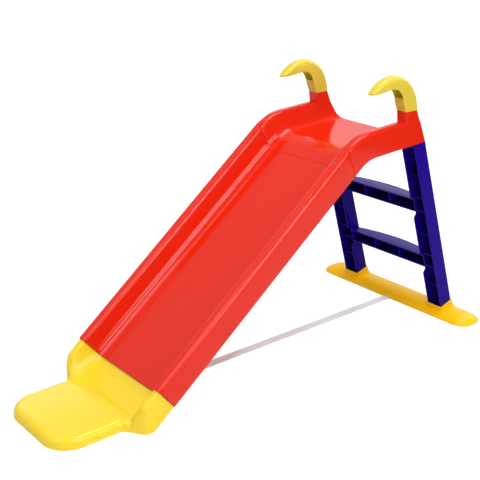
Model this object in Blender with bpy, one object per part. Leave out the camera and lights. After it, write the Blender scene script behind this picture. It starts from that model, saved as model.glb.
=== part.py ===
"""Toddler's slide, about 1.4 m long and 0.8 m high, as an assembly of moulded plastic pieces.

The row lies along X: the run-out is at -X and the ladder at +X. Y is across, with the slide
symmetrical about Y = 0, and Z is up from the floor. Left means +Y. Everything is in metres.
"""
import math

import bmesh
import bpy
from mathutils import Matrix, Vector

# Shells
WALL = 0.0035
LAP_GAP = 0.0004
GAP = 0.0003

# Side view of the chute: the skirt's bottom line runs from the rear foot of the posts,
# along the deck, round a bend and down the slope
REAR_X = 0.501
REAR_Z = 0.591
DECK_FALL = math.radians(3.7)
SLOPE = math.radians(38.2)
DECK_LENGTH = 0.239
BEND_RADIUS = 0.100
POST_LEAN = math.radians(24.0)
CHUTE_LENGTH = 1.0865

# Cross-section of the chute, half of it
HALF_WIDTH = 0.200
FLOOR_HALF = 0.149
FLOOR_HEIGHT = 0.013
FLOOR_DISH = 0.003
FLOOR_FILLET = 0.030
RAIL_INNER = 0.1675
RAIL_ROUND = 0.0125
CREST_DECK = 0.0745
CREST_SEAM = 0.0785
CREST_END = 0.0725

# Ribs under the chute's floor, by their places along the line
FLOOR_RIB_FOOT = 0.001
FLOOR_RIB_REACH = 0.150
FLOOR_RIB_SINK = 0.0015
DECK_RIBS = (0.07, 0.14, 0.205)
LOWER_RIBS = 6
LOWER_RIB_PITCH = 0.105

# Where the slanted ends of the two chutes have faded into square rings
REAR_FADE = 0.09
SEAM_FADE = 0.10

# Seam between the two chutes, cut nearly upright, with a tongue under the lower chute
SEAM_AT = 0.3005
SEAM_SKEW = -0.38
TONGUE = 0.038
STEP = 0.0004
COLLAR = 0.007

# Hollow posts at the rear of the deck
POST_TOP = 0.6885
POST_INNER = 0.1625
POST_FRONT_TOP = 0.4105
POST_FRONT_FOOT = 0.4220
POST_OUTER = HALF_WIDTH - 0.0002
POST_CORNER = 0.003
POST_MIDDLE_Y = (POST_INNER + POST_OUTER) / 2
POST_SCREW_Z = 0.622
GRIP_SCREW_Z = 0.668

# Ladder: the legs lean, and their section is given by depth behind the front plane
LADDER_X = 0.625
COLLAR_Z = 0.033
LEG_LEAN = math.radians(17.35)
LEG_DEPTH = 0.0477
LEG_INNER_FOOT = 0.1570
LEG_INNER_TOP = 0.1500
LEG_OUTER_FOOT = 0.2110
LEG_OUTER_TOP = HALF_WIDTH
LEG_BOTTOM_Z = 0.0125
RIB_HEIGHTS = (0.040, 0.105, 0.171, 0.213, 0.285, 0.365, 0.411, 0.485)
RIB_TOP = 0.578
RIB_THICK = 0.003
RIB_SETBACK = 0.010
TREAD_TOPS = (0.2035, 0.3995)
TREAD_HEIGHT = 0.0427
TREAD_REAR = 0.0038
TREAD_SETBACK = 0.012
TREAD_BOW = 0.023
TREAD_HOLD = 0.002
TREAD_RIBS = 2
NOTCH_BELOW = 0.012
NOTCH_SHAPE = ((-0.008, 0.0), (-0.003, 0.22), (0.003, 0.78), (0.008, 1.0))
TENON_TOP = 0.642

# Base bar across the feet
BAR_X = 0.6575
BAR_HALF_LENGTH = 0.3145
BAR_HALF_WIDTH = 0.052
BAR_CORNER = 0.042
BAR_HEIGHT = 0.024
BAR_RIM = 0.004
SOCKET_WALL = 0.004
SOCKET_FLARE = 0.0055

# Run-out at the foot of the slide
RUNOUT_FRONT = -0.7083
RUNOUT_HALF = 0.1425
RUNOUT_CORNER = 0.075
RUNOUT_HEIGHT = 0.028
RUNOUT_RIM = 0.0200
RUNOUT_TONGUE_X = -0.372
RUNOUT_FILLET = 0.047
LIFT_DELAY = 0.004
LIFT_LENGTH = 0.030
LOBE_START = -0.478
LOBE_END = -0.5155
LOBE_FALL = 0.55
LOBE_MIDDLE = 0.184
LOBE_HALF = 0.034
LOBE_ROUND = 0.0125
SWELL_START = -0.450
SWELL_LENGTH = 0.030
NECK_START = -0.482
NECK_END = -0.532
LIP_OUT = 0.0012
LIP_HIGH = 0.0032

# Grips: points of the side view's back and concave side, from the post to the tip
GRIP_BACK = ((0.4595, 0.6890), (0.4548, 0.7150), (0.4452, 0.7410), (0.4304, 0.7642), (0.4070, 0.7840),
             (0.3780, 0.7943), (0.3490, 0.7931), (0.3205, 0.7842), (0.2985, 0.7705), (0.2850, 0.7620))
GRIP_FRONT = ((0.4105, 0.6890), (0.4020, 0.7080), (0.3970, 0.7240), (0.3900, 0.7390), (0.3800, 0.7510),
              (0.3670, 0.7580), (0.3500, 0.7600), (0.3260, 0.7565), (0.3020, 0.7535), (0.2850, 0.7540))
GRIP_HALVES = (0.0190, 0.0190, 0.0190, 0.0190, 0.0190, 0.0190, 0.0186, 0.0176, 0.0150, 0.0105)
GRIP_TIP = (0.2775, 0.7570)
GRIP_ROUND_POST = 0.005
GRIP_ROUND_HOOK = 0.0105
GRIP_Y = 0.1810
GRIP_WALL = 0.003
GRIP_TENON = 0.032
MOUTH_FIRST = 2.2
MOUTH_LAST = 7.6
MOUTH_REACH = 0.012

# Tie strap on the floor
STRAP_HALF = 0.014
STRAP_THICK = 0.0025
STRAP_FRONT = -0.487
STRAP_REAR = 0.670
STRAP_SCREW_FRONT = -0.475
STRAP_SCREW_REAR = 0.655
BOSS_RADIUS = 0.006
BOSS_FOOT = 0.0032
RUNOUT_BOSS = 0.0225
BAR_BOSS = 0.0190
BOSS_HOLE = 0.018

# Screws
SCREW_RADIUS = 0.0020
HOLE_RADIUS = 0.0024
HEAD_RADIUS = 0.0042
HEAD_HIGH = 0.0022
SEAM_SHANK = 0.014
LAP_SHANK = 0.0058
POST_SHANK = 0.018
FOOT_SHANK = 0.024
FOOT_SEAT = 0.0032

RED = "D8140C"
YELLOW = "F0C010"
INDIGO = "25159A"
STRAP_GREY = "DEDEDA"
STEEL = "A8A8A8"


def clear_scene():
    for item in list(bpy.data.objects):
        bpy.data.objects.remove(item)


def srgb_to_linear(text):
    values = []
    for start in (0, 2, 4):
        part = int(text[start:start + 2], 16) / 255.0
        values.append(part / 12.92 if part <= 0.04045 else ((part + 0.055) / 1.055) ** 2.4)
    return (*values, 1.0)


def make_material(name, colour, roughness, metallic=0.0):
    material = bpy.data.materials.new(name)
    material.use_nodes = True
    shader = material.node_tree.nodes["Principled BSDF"]
    shader.inputs["Base Color"].default_value = srgb_to_linear(colour)
    shader.inputs["Roughness"].default_value = roughness
    shader.inputs["Metallic"].default_value = metallic
    return material


def make_object(name, points, faces, material=None, sharp=32.0):
    """One closed mesh from points and faces, with its faces turned outwards."""
    mesh = bpy.data.meshes.new(name)
    mesh.from_pydata([tuple(p) for p in points], [], faces)
    work = bmesh.new()
    work.from_mesh(mesh)
    bmesh.ops.recalc_face_normals(work, faces=work.faces)
    work.to_mesh(mesh)
    work.free()
    mesh.shade_smooth()
    mesh.set_sharp_from_angle(angle=math.radians(sharp))
    if material:
        mesh.materials.append(material)
    item = bpy.data.objects.new(name, mesh)
    bpy.context.scene.collection.objects.link(item)
    return item


def hide_cutter(item):
    item.hide_render = True
    item.display_type = "WIRE"
    return item


def boolean(target, tool, operation):
    hide_cutter(tool)
    modifier = target.modifiers.new(tool.name, "BOOLEAN")
    modifier.operation = operation
    modifier.solver = "EXACT"
    modifier.object = tool


def cut(target, tool):
    boolean(target, tool, "DIFFERENCE")


def fuse(target, tool):
    boolean(target, tool, "UNION")


def merge_shapes(shapes):
    """Points and faces of several separate shapes, as one list of each."""
    points = []
    faces = []
    for shape_points, shape_faces in shapes:
        first = len(points)
        points.extend(shape_points)
        faces.extend([tuple(first + index for index in face) for face in shape_faces])
    return points, faces


def loft(rings):
    """Points and faces of a solid through closed rings of equal length, with flat ends."""
    count = len(rings[0])
    points = [point for ring in rings for point in ring]
    faces = []
    for row in range(len(rings) - 1):
        for k in range(count):
            a = row * count + k
            b = row * count + (k + 1) % count
            faces.append((a, b, b + count, a + count))
    faces.append(tuple(range(count)))
    last = (len(rings) - 1) * count
    faces.append(tuple(last + k for k in range(count)))
    return points, faces


def box(low, high):
    rings = []
    for z in (low[2], high[2]):
        rings.append([(low[0], low[1], z), (high[0], low[1], z), (high[0], high[1], z), (low[0], high[1], z)])
    return loft(rings)


def rounded_rectangle(x0, x1, y0, y1, radius, steps=2):
    """Outline points, anticlockwise, of a rectangle with round corners."""
    outline = []
    corners = ((x1, y1, 0), (x0, y1, 90), (x0, y0, 180), (x1, y0, 270))
    for x, y, start in corners:
        cx = x - radius if x == x1 else x + radius
        cy = y - radius if y == y1 else y + radius
        for k in range(steps + 1):
            angle = math.radians(start + 90.0 * k / steps)
            outline.append((cx + radius * math.cos(angle), cy + radius * math.sin(angle)))
    return outline


def cylinder(base, axis, length, radius, sides=12, top_radius=None):
    """Points and faces of a round bar, or a cone where top_radius differs."""
    turn = Vector((0, 0, 1)).rotation_difference(Vector(axis)).to_matrix().to_4x4()
    place = Matrix.Translation(Vector(base)) @ turn
    rings = []
    for height, size in ((0.0, radius), (length, radius if top_radius is None else top_radius)):
        ring = []
        for k in range(sides):
            angle = 2 * math.pi * k / sides
            ring.append(place @ Vector((size * math.cos(angle), size * math.sin(angle), height)))
        rings.append(ring)
    return loft(rings)


def offset_corners(corners, distance):
    """Corner points of a polyline moved to its right by a distance."""
    lines = []
    for (x0, y0), (x1, y1) in zip(corners, corners[1:]):
        length = math.hypot(x1 - x0, y1 - y0)
        dx = (x1 - x0) / length
        dy = (y1 - y0) / length
        lines.append((x0 + dy * distance, y0 - dx * distance, dx, dy))
    moved = [(lines[0][0], lines[0][1])]
    for (ax, ay, adx, ady), (bx, by, bdx, bdy) in zip(lines, lines[1:]):
        t = ((bx - ax) * bdy - (by - ay) * bdx) / (adx * bdy - ady * bdx)
        moved.append((ax + t * adx, ay + t * ady))
    ex, ey = corners[-1]
    _, _, dx, dy = lines[-1]
    moved.append((ex + dy * distance, ey - dx * distance))
    return moved


def round_corner(before, corner, after, radius, steps):
    """Points of the arc that rounds one corner of a polyline."""
    c = Vector(corner)
    to_before = (Vector(before) - c).normalized()
    to_after = (Vector(after) - c).normalized()
    half = to_before.angle(to_after) / 2
    middle = (to_before + to_after).normalized()
    centre = c + middle * (radius / math.sin(half))
    start = c + to_before * (radius / math.tan(half)) - centre
    end = c + to_after * (radius / math.tan(half)) - centre
    sweep = start.angle(end)
    points = []
    for k in range(steps + 1):
        t = k / steps
        direction = start * math.sin((1 - t) * sweep) + end * math.sin(t * sweep)
        points.append(tuple(centre + direction / math.sin(sweep)))
    return points


def half_section(inset, crest, fine=1):
    """Half the chute's section from the centre line to the skirt's foot, as (y, h) points.

    inset moves the line into the material: 0 is the outside, WALL the inside of the shell.
    """
    corners = [(0.0, FLOOR_HEIGHT), (FLOOR_HALF, FLOOR_HEIGHT), (RAIL_INNER, crest),
               (HALF_WIDTH, crest), (HALF_WIDTH, 0.0)]
    moved = offset_corners(corners, inset)
    dished = []
    flat_end = FLOOR_HALF - 0.75 * FLOOR_FILLET
    for k in range(3 * fine):
        y = flat_end * k / (3 * fine)
        dished.append((y, moved[0][1] - FLOOR_DISH * (1 - (y / flat_end) ** 2)))
    points = dished
    points += round_corner(moved[0], moved[1], moved[2], FLOOR_FILLET + inset, 5 * fine)
    points += round_corner(moved[1], moved[2], moved[3], RAIL_ROUND - inset, 4 * fine)
    points += round_corner(moved[2], moved[3], moved[4], RAIL_ROUND - inset, 4 * fine)
    points.append((moved[4][0], 0.0))
    return points


def full_section(inset, crest):
    half = half_section(inset, crest)
    return [(-y, h) for y, h in reversed(half[1:])] + half


BEND_TANGENT = BEND_RADIUS * math.tan((SLOPE - DECK_FALL) / 2)
BEND_START = DECK_LENGTH - BEND_TANGENT
BEND_END = BEND_START + BEND_RADIUS * (SLOPE - DECK_FALL)


def foot_line(s):
    """Place and fall of the skirt's bottom line, s along it from the rear."""
    x = REAR_X - min(s, BEND_START) * math.cos(DECK_FALL)
    z = REAR_Z - min(s, BEND_START) * math.sin(DECK_FALL)
    fall = DECK_FALL
    if s > BEND_START:
        fall += (min(s, BEND_END) - BEND_START) / BEND_RADIUS
        x -= BEND_RADIUS * (math.sin(fall) - math.sin(DECK_FALL))
        z -= BEND_RADIUS * (math.cos(DECK_FALL) - math.cos(fall))
    if s > BEND_END:
        x -= (s - BEND_END) * math.cos(SLOPE)
        z -= (s - BEND_END) * math.sin(SLOPE)
    return x, z, fall


def on_chute(s, y, h):
    """Point at height h square above the skirt's bottom line."""
    x, z, fall = foot_line(s)
    return Vector((x - h * math.sin(fall), y, z + h * math.cos(fall)))


def crest_at(s):
    if s < BEND_START:
        return CREST_DECK
    if s < SEAM_AT:
        return CREST_DECK + (CREST_SEAM - CREST_DECK) * (s - BEND_START) / (SEAM_AT - BEND_START)
    share = (s - SEAM_AT) / (CHUTE_LENGTH - SEAM_AT)
    return CREST_SEAM + (CREST_END - CREST_SEAM) * share


def shell_ring(s, skew, outer, inner):
    """Closed ring of the shell: its outside across, then its inside back."""
    crest = crest_at(s)
    over = [on_chute(s + skew * h, y, h) for y, h in full_section(outer, crest)]
    under = [on_chute(s + skew * h, y, h) for y, h in full_section(inner, crest)]
    return over + under[::-1]


def shell(rings):
    """Points and faces of a thin shell through rings made by shell_ring."""
    points, faces = loft(rings)
    faces = faces[:-2]
    count = len(rings[0])
    for first in (0, (len(rings) - 1) * count):
        for k in range(count // 2 - 1):
            a = first + k
            b = first + count - 1 - k
            faces.append((a, a + 1, b - 1, b))
    return points, faces


def cross_rib(s):
    """Stiffening rib across the underside of the chute's floor, let into it a little."""
    top = FLOOR_HEIGHT - FLOOR_DISH - WALL + FLOOR_RIB_SINK
    rings = []
    for along in (s - RIB_THICK / 2, s + RIB_THICK / 2):
        corners = ((-1, FLOOR_RIB_FOOT), (1, FLOOR_RIB_FOOT), (1, top), (-1, top))
        rings.append([on_chute(along, side * FLOOR_RIB_REACH, h) for side, h in corners])
    return loft(rings)


def post_section(z, grow):
    """Outline of a post at height z, as x0, x1, y0, y1; grow is negative inside the wall."""
    share = (z - REAR_Z) / (POST_TOP - REAR_Z)
    front = POST_FRONT_FOOT + (POST_FRONT_TOP - POST_FRONT_FOOT) * share
    rear = REAR_X - (z - REAR_Z) * math.tan(POST_LEAN)
    return front - grow, rear + grow / math.cos(POST_LEAN), POST_INNER - grow, POST_OUTER + grow


def foot_height(x):
    """Height of the deck's bottom line above the floor at x."""
    return REAR_Z - (REAR_X - x) * math.tan(DECK_FALL)


def post_ring(z, grow, side, radius, tilt=0.0):
    x0, x1, y0, y1 = post_section(z, grow)
    ring = []
    for x, y in rounded_rectangle(x0, x1, y0, y1, radius):
        ring.append((x, side * y, z + (x - REAR_X) * tilt))
    return ring


def post_solid(side, grow, bottom, top, radius):
    levels = [bottom + (top - bottom) * k / 2 for k in range(3)]
    tilt = math.tan(DECK_FALL)
    rings = [post_ring(levels[0], grow, side, radius, tilt)]
    rings += [post_ring(z, grow, side, radius) for z in levels[1:]]
    return loft(rings)


def rear_apron():
    """Plate that closes the deck's rear edge between the posts, as high as the section."""
    lean = math.tan(POST_LEAN - DECK_FALL)
    crest = crest_at(0.0)
    line = [(y, h) for y, h in full_section(0.0015, crest) if abs(y) < POST_INNER + 0.001 and h < 0.055]
    outline = [(line[-1][0], 0.0004), (line[0][0], 0.0004)] + line
    rings = []
    for depth in (0.0002, 0.0002 + WALL):
        rings.append([on_chute(depth + lean * h, y, h) for y, h in outline])
    return loft(rings)


def screw_place(s, y, h):
    """Point on the rail's crest and the direction square to the slope."""
    _, _, fall = foot_line(s)
    return on_chute(s, y, h), Vector((-math.sin(fall), 0.0, math.cos(fall)))


RAIL_MIDDLE = (RAIL_INNER + HALF_WIDTH) / 2
SEAM_SCREW_S = SEAM_AT + 0.021
LAP_SCREW_S = CHUTE_LENGTH - 0.022
SEAM_RECESS = 0.0012
DRILL_FROM = 0.045
DRILL_LONG = 0.05
POST_DRILL_X = 0.455
LAP_DRILL_FROM = 0.04
LAP_SKIN = 0.0012


def build_upper_chute(material):
    inner = 2 * WALL + LAP_GAP
    outer = WALL + LAP_GAP
    rear_skew = math.tan(POST_LEAN - DECK_FALL)
    rings = [shell_ring(0.0, rear_skew, 0.0, WALL), shell_ring(REAR_FADE, 0.0, 0.0, WALL)]
    bend_steps = 5
    for k in range(bend_steps + 1):
        share = k / bend_steps
        s = BEND_START + (BEND_END - BEND_START - 0.002) * share
        rings.append(shell_ring(s, SEAM_SKEW * 0.9 * share, 0.0, WALL))
    rings.append(shell_ring(SEAM_AT - COLLAR, SEAM_SKEW, 0.0, WALL))
    rings.append(shell_ring(SEAM_AT - COLLAR + STEP, SEAM_SKEW, 0.0, inner))
    rings.append(shell_ring(SEAM_AT, SEAM_SKEW, 0.0, inner))
    rings.append(shell_ring(SEAM_AT + STEP, SEAM_SKEW, outer, inner))
    rings.append(shell_ring(SEAM_AT + TONGUE, SEAM_SKEW, outer, inner))
    item = make_object("upper_chute", *shell(rings), material)
    ribs = merge_shapes([cross_rib(s) for s in DECK_RIBS])
    fuse(item, make_object("upper_rib_tool", *ribs))
    fuse(item, make_object("rear_apron_tool", *rear_apron()))
    bottom = REAR_Z + 0.0002
    posts = [post_solid(side, 0.0, bottom, POST_TOP, POST_CORNER) for side in (1, -1)]
    fuse(item, make_object("post_tool", *merge_shapes(posts)))
    bores = [post_solid(side, -WALL, bottom - 0.02, POST_TOP + 0.01, 0.001) for side in (1, -1)]
    cut(item, make_object("post_bore_tool", *merge_shapes(bores)))
    holes = []
    for side in (1, -1):
        place, up = screw_place(SEAM_SCREW_S, side * RAIL_MIDDLE, DRILL_FROM)
        holes.append(cylinder(place, up, DRILL_LONG, HOLE_RADIUS))
        for z in (POST_SCREW_Z, GRIP_SCREW_Z):
            start = (POST_DRILL_X, side * POST_MIDDLE_Y, z)
            holes.append(cylinder(start, (1, 0, 0), DRILL_LONG, HOLE_RADIUS))
    cut(item, make_object("upper_hole_tool", *merge_shapes(holes)))
    return item


def build_lower_chute(material):
    start = SEAM_AT + STEP + GAP
    square = start + SEAM_FADE
    third = (CHUTE_LENGTH - square) / 3
    stations = [(start, SEAM_SKEW)] + [(square + third * k, 0.0) for k in range(4)]
    item = make_object("lower_chute", *shell([shell_ring(s, skew, 0.0, WALL) for s, skew in stations]),
                       material)
    ribs = merge_shapes([cross_rib(square + LOWER_RIB_PITCH * k) for k in range(LOWER_RIBS)])
    fuse(item, make_object("lower_rib_tool", *ribs))
    recesses = []
    shanks = []
    blind = []
    for side in (1, -1):
        place, up = screw_place(SEAM_SCREW_S, side * RAIL_MIDDLE, crest_at(SEAM_SCREW_S) - SEAM_RECESS)
        recesses.append(cylinder(place, up, 0.01, HEAD_RADIUS + GAP, 16))
        place, up = screw_place(SEAM_SCREW_S, side * RAIL_MIDDLE, DRILL_FROM)
        shanks.append(cylinder(place, up, DRILL_LONG, HOLE_RADIUS))
        place, up = screw_place(LAP_SCREW_S, side * RAIL_MIDDLE, LAP_DRILL_FROM)
        blind.append(cylinder(place, up, crest_at(LAP_SCREW_S) - LAP_SKIN - LAP_DRILL_FROM, HOLE_RADIUS))
    cut(item, make_object("seam_recess_tool", *merge_shapes(recesses)))
    cut(item, make_object("seam_shank_tool", *merge_shapes(shanks)))
    cut(item, make_object("lap_hole_tool", *merge_shapes(blind)))
    return item


def smooth(t):
    t = max(0.0, min(1.0, t))
    return t * t * (3 - 2 * t)


def slope_line(x):
    """Height of the skirt's bottom line where the slope carries on."""
    x_end, z_end, _ = foot_line(CHUTE_LENGTH)
    return z_end + (x - x_end) * math.tan(SLOPE)


NEST = WALL + LAP_GAP
NEST_HALF = HALF_WIDTH - NEST


def runout_floor(x):
    """Height of the run-out's floor on the centre line's side of the fillet."""
    sloped = slope_line(x) + (FLOOR_HEIGHT - NEST) / math.cos(SLOPE)
    meet = x - (sloped - RUNOUT_HEIGHT) / math.tan(SLOPE)
    radius = RUNOUT_FILLET / math.tan(SLOPE / 2)
    if x >= meet + RUNOUT_FILLET * math.cos(SLOPE):
        return sloped
    if x <= meet - RUNOUT_FILLET:
        return RUNOUT_HEIGHT
    return RUNOUT_HEIGHT + radius - math.sqrt(radius ** 2 - (x - meet + RUNOUT_FILLET) ** 2)


def nested_crest(x):
    return slope_line(x) + (CREST_END - NEST) / math.cos(SLOPE)


def runout_crest(x, y):
    """Height of the rail's top, down to the floor past the lobe's nose, which is round in plan."""
    if x >= LOBE_START:
        return nested_crest(x)
    off = min(1.0, abs(abs(y) - LOBE_MIDDLE) / LOBE_HALF)
    reach = (LOBE_START - LOBE_END) * math.sqrt(1 - 0.75 * off ** 2)
    share = (LOBE_START - x) / reach
    if share >= 1.0:
        return runout_floor(x)
    top = nested_crest(LOBE_START) - LOBE_FALL * (LOBE_START - x)
    return runout_floor(x) + (top - runout_floor(x)) * math.sqrt(1 - share ** 2)


def runout_half_width(x):
    share = smooth((NECK_START - x) / (NECK_START - NECK_END))
    return NEST_HALF + (RUNOUT_HALF - NEST_HALF) * share


def front_outline(y):
    """x of the run-out's front edge at y, with its round corners."""
    straight = RUNOUT_HALF - RUNOUT_CORNER
    beyond = max(0.0, abs(y) - straight)
    return RUNOUT_FRONT + RUNOUT_CORNER - math.sqrt(max(0.0, RUNOUT_CORNER ** 2 - beyond ** 2))


def edge_distance(x, y):
    """Distance in plan from a point on the run-out to its outline."""
    corner_x = RUNOUT_FRONT + RUNOUT_CORNER
    corner_y = RUNOUT_HALF - RUNOUT_CORNER
    if x < corner_x and abs(y) > corner_y:
        return RUNOUT_CORNER - math.hypot(corner_x - x, abs(y) - corner_y)
    if x < corner_x:
        return x - RUNOUT_FRONT
    half = runout_half_width(x)
    lean = (runout_half_width(x + 0.001) - runout_half_width(x - 0.001)) / 0.002
    return (half - abs(y)) / math.sqrt(1 + lean ** 2)


NESTED = half_section(NEST, CREST_END)
NESTED_TOP = [(y, h) for y, h in NESTED if y <= HALF_WIDTH - RAIL_ROUND + 1e-6]
NESTED_CREST = CREST_END - NEST
NESTED_FLOOR = FLOOR_HEIGHT - NEST


def rail_share(y):
    """How far up the rail a point at y is: 0 on the floor, 1 on the crest."""
    y = abs(y)
    for (y0, h0), (y1, h1) in zip(NESTED_TOP, NESTED_TOP[1:]):
        if y0 <= y <= y1:
            h = h0 + (h1 - h0) * (y - y0) / (y1 - y0)
            return (h - NESTED_FLOOR) / (NESTED_CREST - NESTED_FLOOR)
    return 1.0


def runout_base(x, share):
    """Floor height under a point share of the way up the rail.

    Under the lower chute's square end it stays on the slope, and lifts to the run-out's floor past it.
    """
    sloped = slope_line(x) + NESTED_FLOOR / math.cos(SLOPE)
    height = NESTED_FLOOR + share * (NESTED_CREST - NESTED_FLOOR)
    past = foot_line(CHUTE_LENGTH)[0] - height * math.sin(SLOPE) - LIFT_DELAY - x
    return sloped + (runout_floor(x) - sloped) * smooth(past / LIFT_LENGTH)


def runout_top(x, y):
    """Height of the run-out's upper surface."""
    share = rail_share(y)
    base = runout_base(x, share)
    height = base + (runout_crest(x, y) - base) * share
    past = smooth((NECK_START - x) / (NECK_START - NECK_END))
    swell = smooth((SWELL_START - x) / SWELL_LENGTH)
    rail_round = RAIL_ROUND - NEST + (LOBE_ROUND - RAIL_ROUND + NEST) * swell
    radius = rail_round * (1 - past) + RUNOUT_RIM * past
    inside = min(radius, max(0.0, edge_distance(x, y)))
    drop = radius - math.sqrt(radius ** 2 - (radius - inside) ** 2)
    return height - drop * ((1 - past) / math.cos(SLOPE) + past)


def runout_columns(past):
    """y of the columns across half the run-out; past is 0 at the rails and 1 on the paddle."""
    shoulder = RAIL_ROUND - NEST
    rail = [y for y, _ in NESTED_TOP]
    rail += [NEST_HALF - shoulder * (1 - math.sin(math.radians(a))) for a in (30, 60, 90)]
    count = len(rail)
    rim = [RUNOUT_HALF - RUNOUT_RIM * (1 - math.sin(math.radians(a))) for a in (0, 25, 50, 72, 90)]
    inner = [rim[0] * k / (count - 5) for k in range(count - 5)]
    paddle = inner + rim
    return [r * (1 - past) + p * past for r, p in zip(rail, paddle)]


def runout_rows():
    """Plan points of the run-out's upper surface, row by row from the tongue to the front."""
    stations = [RUNOUT_TONGUE_X, -0.412, -0.432, -0.452, -0.468, LOBE_START]
    nose = LOBE_END - LOBE_START
    stations += [LOBE_START + nose * math.sin(math.radians(angle)) for angle in (15, 30, 45, 60, 75, 90)]
    stations += [-0.522, NECK_END, -0.556, -0.592, RUNOUT_FRONT + RUNOUT_CORNER]
    rows = []
    for x in stations:
        past = smooth((NECK_START - x) / (NECK_START - NECK_END))
        half = runout_half_width(x)
        ys = runout_columns(past)
        ys = [y * half / ys[-1] for y in ys]
        rows.append([(x, y) for y in ys])
    corner_y = RUNOUT_HALF - RUNOUT_CORNER
    ends = (14, 26, 35, 40, 43, 45)
    for angle in ends:
        turn = math.radians(angle)
        x_edge = RUNOUT_FRONT + RUNOUT_CORNER * (1 - math.sin(turn))
        y_edge = corner_y + RUNOUT_CORNER * math.cos(turn)
        y_last = corner_y + RUNOUT_CORNER * math.cos(math.radians(45))
        weight = (angle / 45) ** 2
        row = []
        for y in runout_columns(1.0):
            y_here = y * y_edge / RUNOUT_HALF
            bulge = front_outline(y_here * y_last / y_edge) - front_outline(y_last)
            row.append((x_edge + bulge * weight, y_here))
        rows.append(row)
    return rows


def runout_foot(x):
    """Height of the skirt's foot: along the slope, then on the floor."""
    return max(0.0, slope_line(x) - 0.002)


def mirror_row(row):
    return [(x, -y) for x, y in reversed(row[1:])] + row


def build_landing(material):
    rows = [mirror_row(row) for row in runout_rows()]
    width = len(rows[0])
    points = [Vector((x, y, runout_top(x, y))) for row in rows for x, y in row]
    faces = []
    for i in range(len(rows) - 1):
        for k in range(width - 1):
            a = i * width + k
            faces.append((a, a + 1, a + 1 + width, a + width))
    last = (len(rows) - 1) * width
    rim = [i * width for i in range(len(rows))]
    rim += [last + k for k in range(1, width)]
    rim += [i * width + width - 1 for i in reversed(range(len(rows) - 1))]
    above = rim
    for level in range(3):
        below = []
        for index, top in enumerate(rim):
            x, y, z = points[top]
            before = points[rim[max(0, index - 1)]]
            after = points[rim[min(len(rim) - 1, index + 1)]]
            along = Vector((after.x - before.x, after.y - before.y))
            outward = Vector((-along.y, along.x)).normalized()
            foot = runout_foot(x)
            lip = smooth((LOBE_END + 0.004 - x) / 0.012)
            out = LIP_OUT * lip * (0 if level == 0 else 1)
            height = (LIP_HIGH + 0.0006, LIP_HIGH, 0.0)[level] if foot == 0.0 else foot + 0.004 * (2 - level)
            below.append(len(points))
            under = min(height, z - 0.001 * (level + 1))
            points.append(Vector((x + outward.x * out, y + outward.y * out, under)))
        for a in range(len(rim) - 1):
            faces.append((above[a], above[a + 1], below[a + 1], below[a]))
        above = below
    mesh = bpy.data.meshes.new("landing")
    mesh.from_pydata(points, [], faces)
    work = bmesh.new()
    work.from_mesh(mesh)
    bmesh.ops.recalc_face_normals(work, faces=work.faces)
    if sum(face.normal.z * face.calc_area() for face in work.faces) < 0:
        bmesh.ops.reverse_faces(work, faces=work.faces)
    work.to_mesh(mesh)
    work.free()
    mesh.shade_smooth()
    mesh.set_sharp_from_angle(angle=math.radians(35))
    mesh.materials.append(material)
    item = bpy.data.objects.new("landing", mesh)
    bpy.context.scene.collection.objects.link(item)
    wall = item.modifiers.new("wall", "SOLIDIFY")
    wall.thickness = WALL
    wall.offset = -1.0
    wall.use_even_offset = False
    boss = cylinder((STRAP_SCREW_FRONT, 0, BOSS_FOOT), (0, 0, 1), RUNOUT_BOSS, BOSS_RADIUS, 12)
    fuse(item, make_object("landing_boss_tool", *boss))
    holes = [cylinder((STRAP_SCREW_FRONT, 0, -0.002), (0, 0, 1), BOSS_HOLE, HOLE_RADIUS)]
    for side in (1, -1):
        place, up = screw_place(LAP_SCREW_S, side * RAIL_MIDDLE, LAP_DRILL_FROM)
        holes.append(cylinder(place, up, DRILL_LONG, HOLE_RADIUS))
    cut(item, make_object("landing_hole_tool", *merge_shapes(holes)))
    return item


def leg_point(z, depth, y, side=1):
    """Point of the ladder at height z, at a depth behind its leaning front plane."""
    up = (z - COLLAR_Z - depth * math.sin(LEG_LEAN)) / math.cos(LEG_LEAN)
    x = LADDER_X - up * math.sin(LEG_LEAN) + depth * math.cos(LEG_LEAN)
    return Vector((x, side * y, z))


def leg_sides(z):
    """Inner and outer y of a leg at height z."""
    share = (z - COLLAR_Z) / (REAR_Z - COLLAR_Z)
    inner = LEG_INNER_FOOT + (LEG_INNER_TOP - LEG_INNER_FOOT) * share
    outer = LEG_OUTER_FOOT + (LEG_OUTER_TOP - LEG_OUTER_FOOT) * share
    return inner, outer


def leg_ring(height, grow, side):
    """Four-cornered ring round a leg; height is a number, or a function of depth."""
    ring = []
    for depth, outer in ((-grow, False), (-grow, True), (LEG_DEPTH + grow, True), (LEG_DEPTH + grow, False)):
        z = height(depth) if callable(height) else height
        inner_y, outer_y = leg_sides(z)
        ring.append(leg_point(z, depth, outer_y + grow if outer else inner_y - grow, side))
    return ring


def leg_top(depth):
    """Height of the leg's shoulder, just under the deck's bottom line."""
    guess = REAR_Z - GAP - 0.0001
    for _ in range(3):
        guess = foot_height(leg_point(guess, depth, 0).x) - GAP - 0.0001
    return guess


def channel_ring(height, side, notch=0.0):
    """Ring of the leg's open channel; notch is how far the inner flange's edge is set back."""
    back = LEG_DEPTH - WALL
    corners = ((notch, 0, 0.0), (notch, 0, WALL), (back, 0, WALL), (back, 1, -WALL), (0.0, 1, -WALL),
               (0.0, 1, 0.0), (LEG_DEPTH, 1, 0.0), (LEG_DEPTH, 0, 0.0))
    ring = []
    for depth, edge, step in corners:
        z = height(depth) if callable(height) else height
        ring.append(leg_point(z, depth, leg_sides(z)[edge] + step, side))
    return ring


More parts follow.
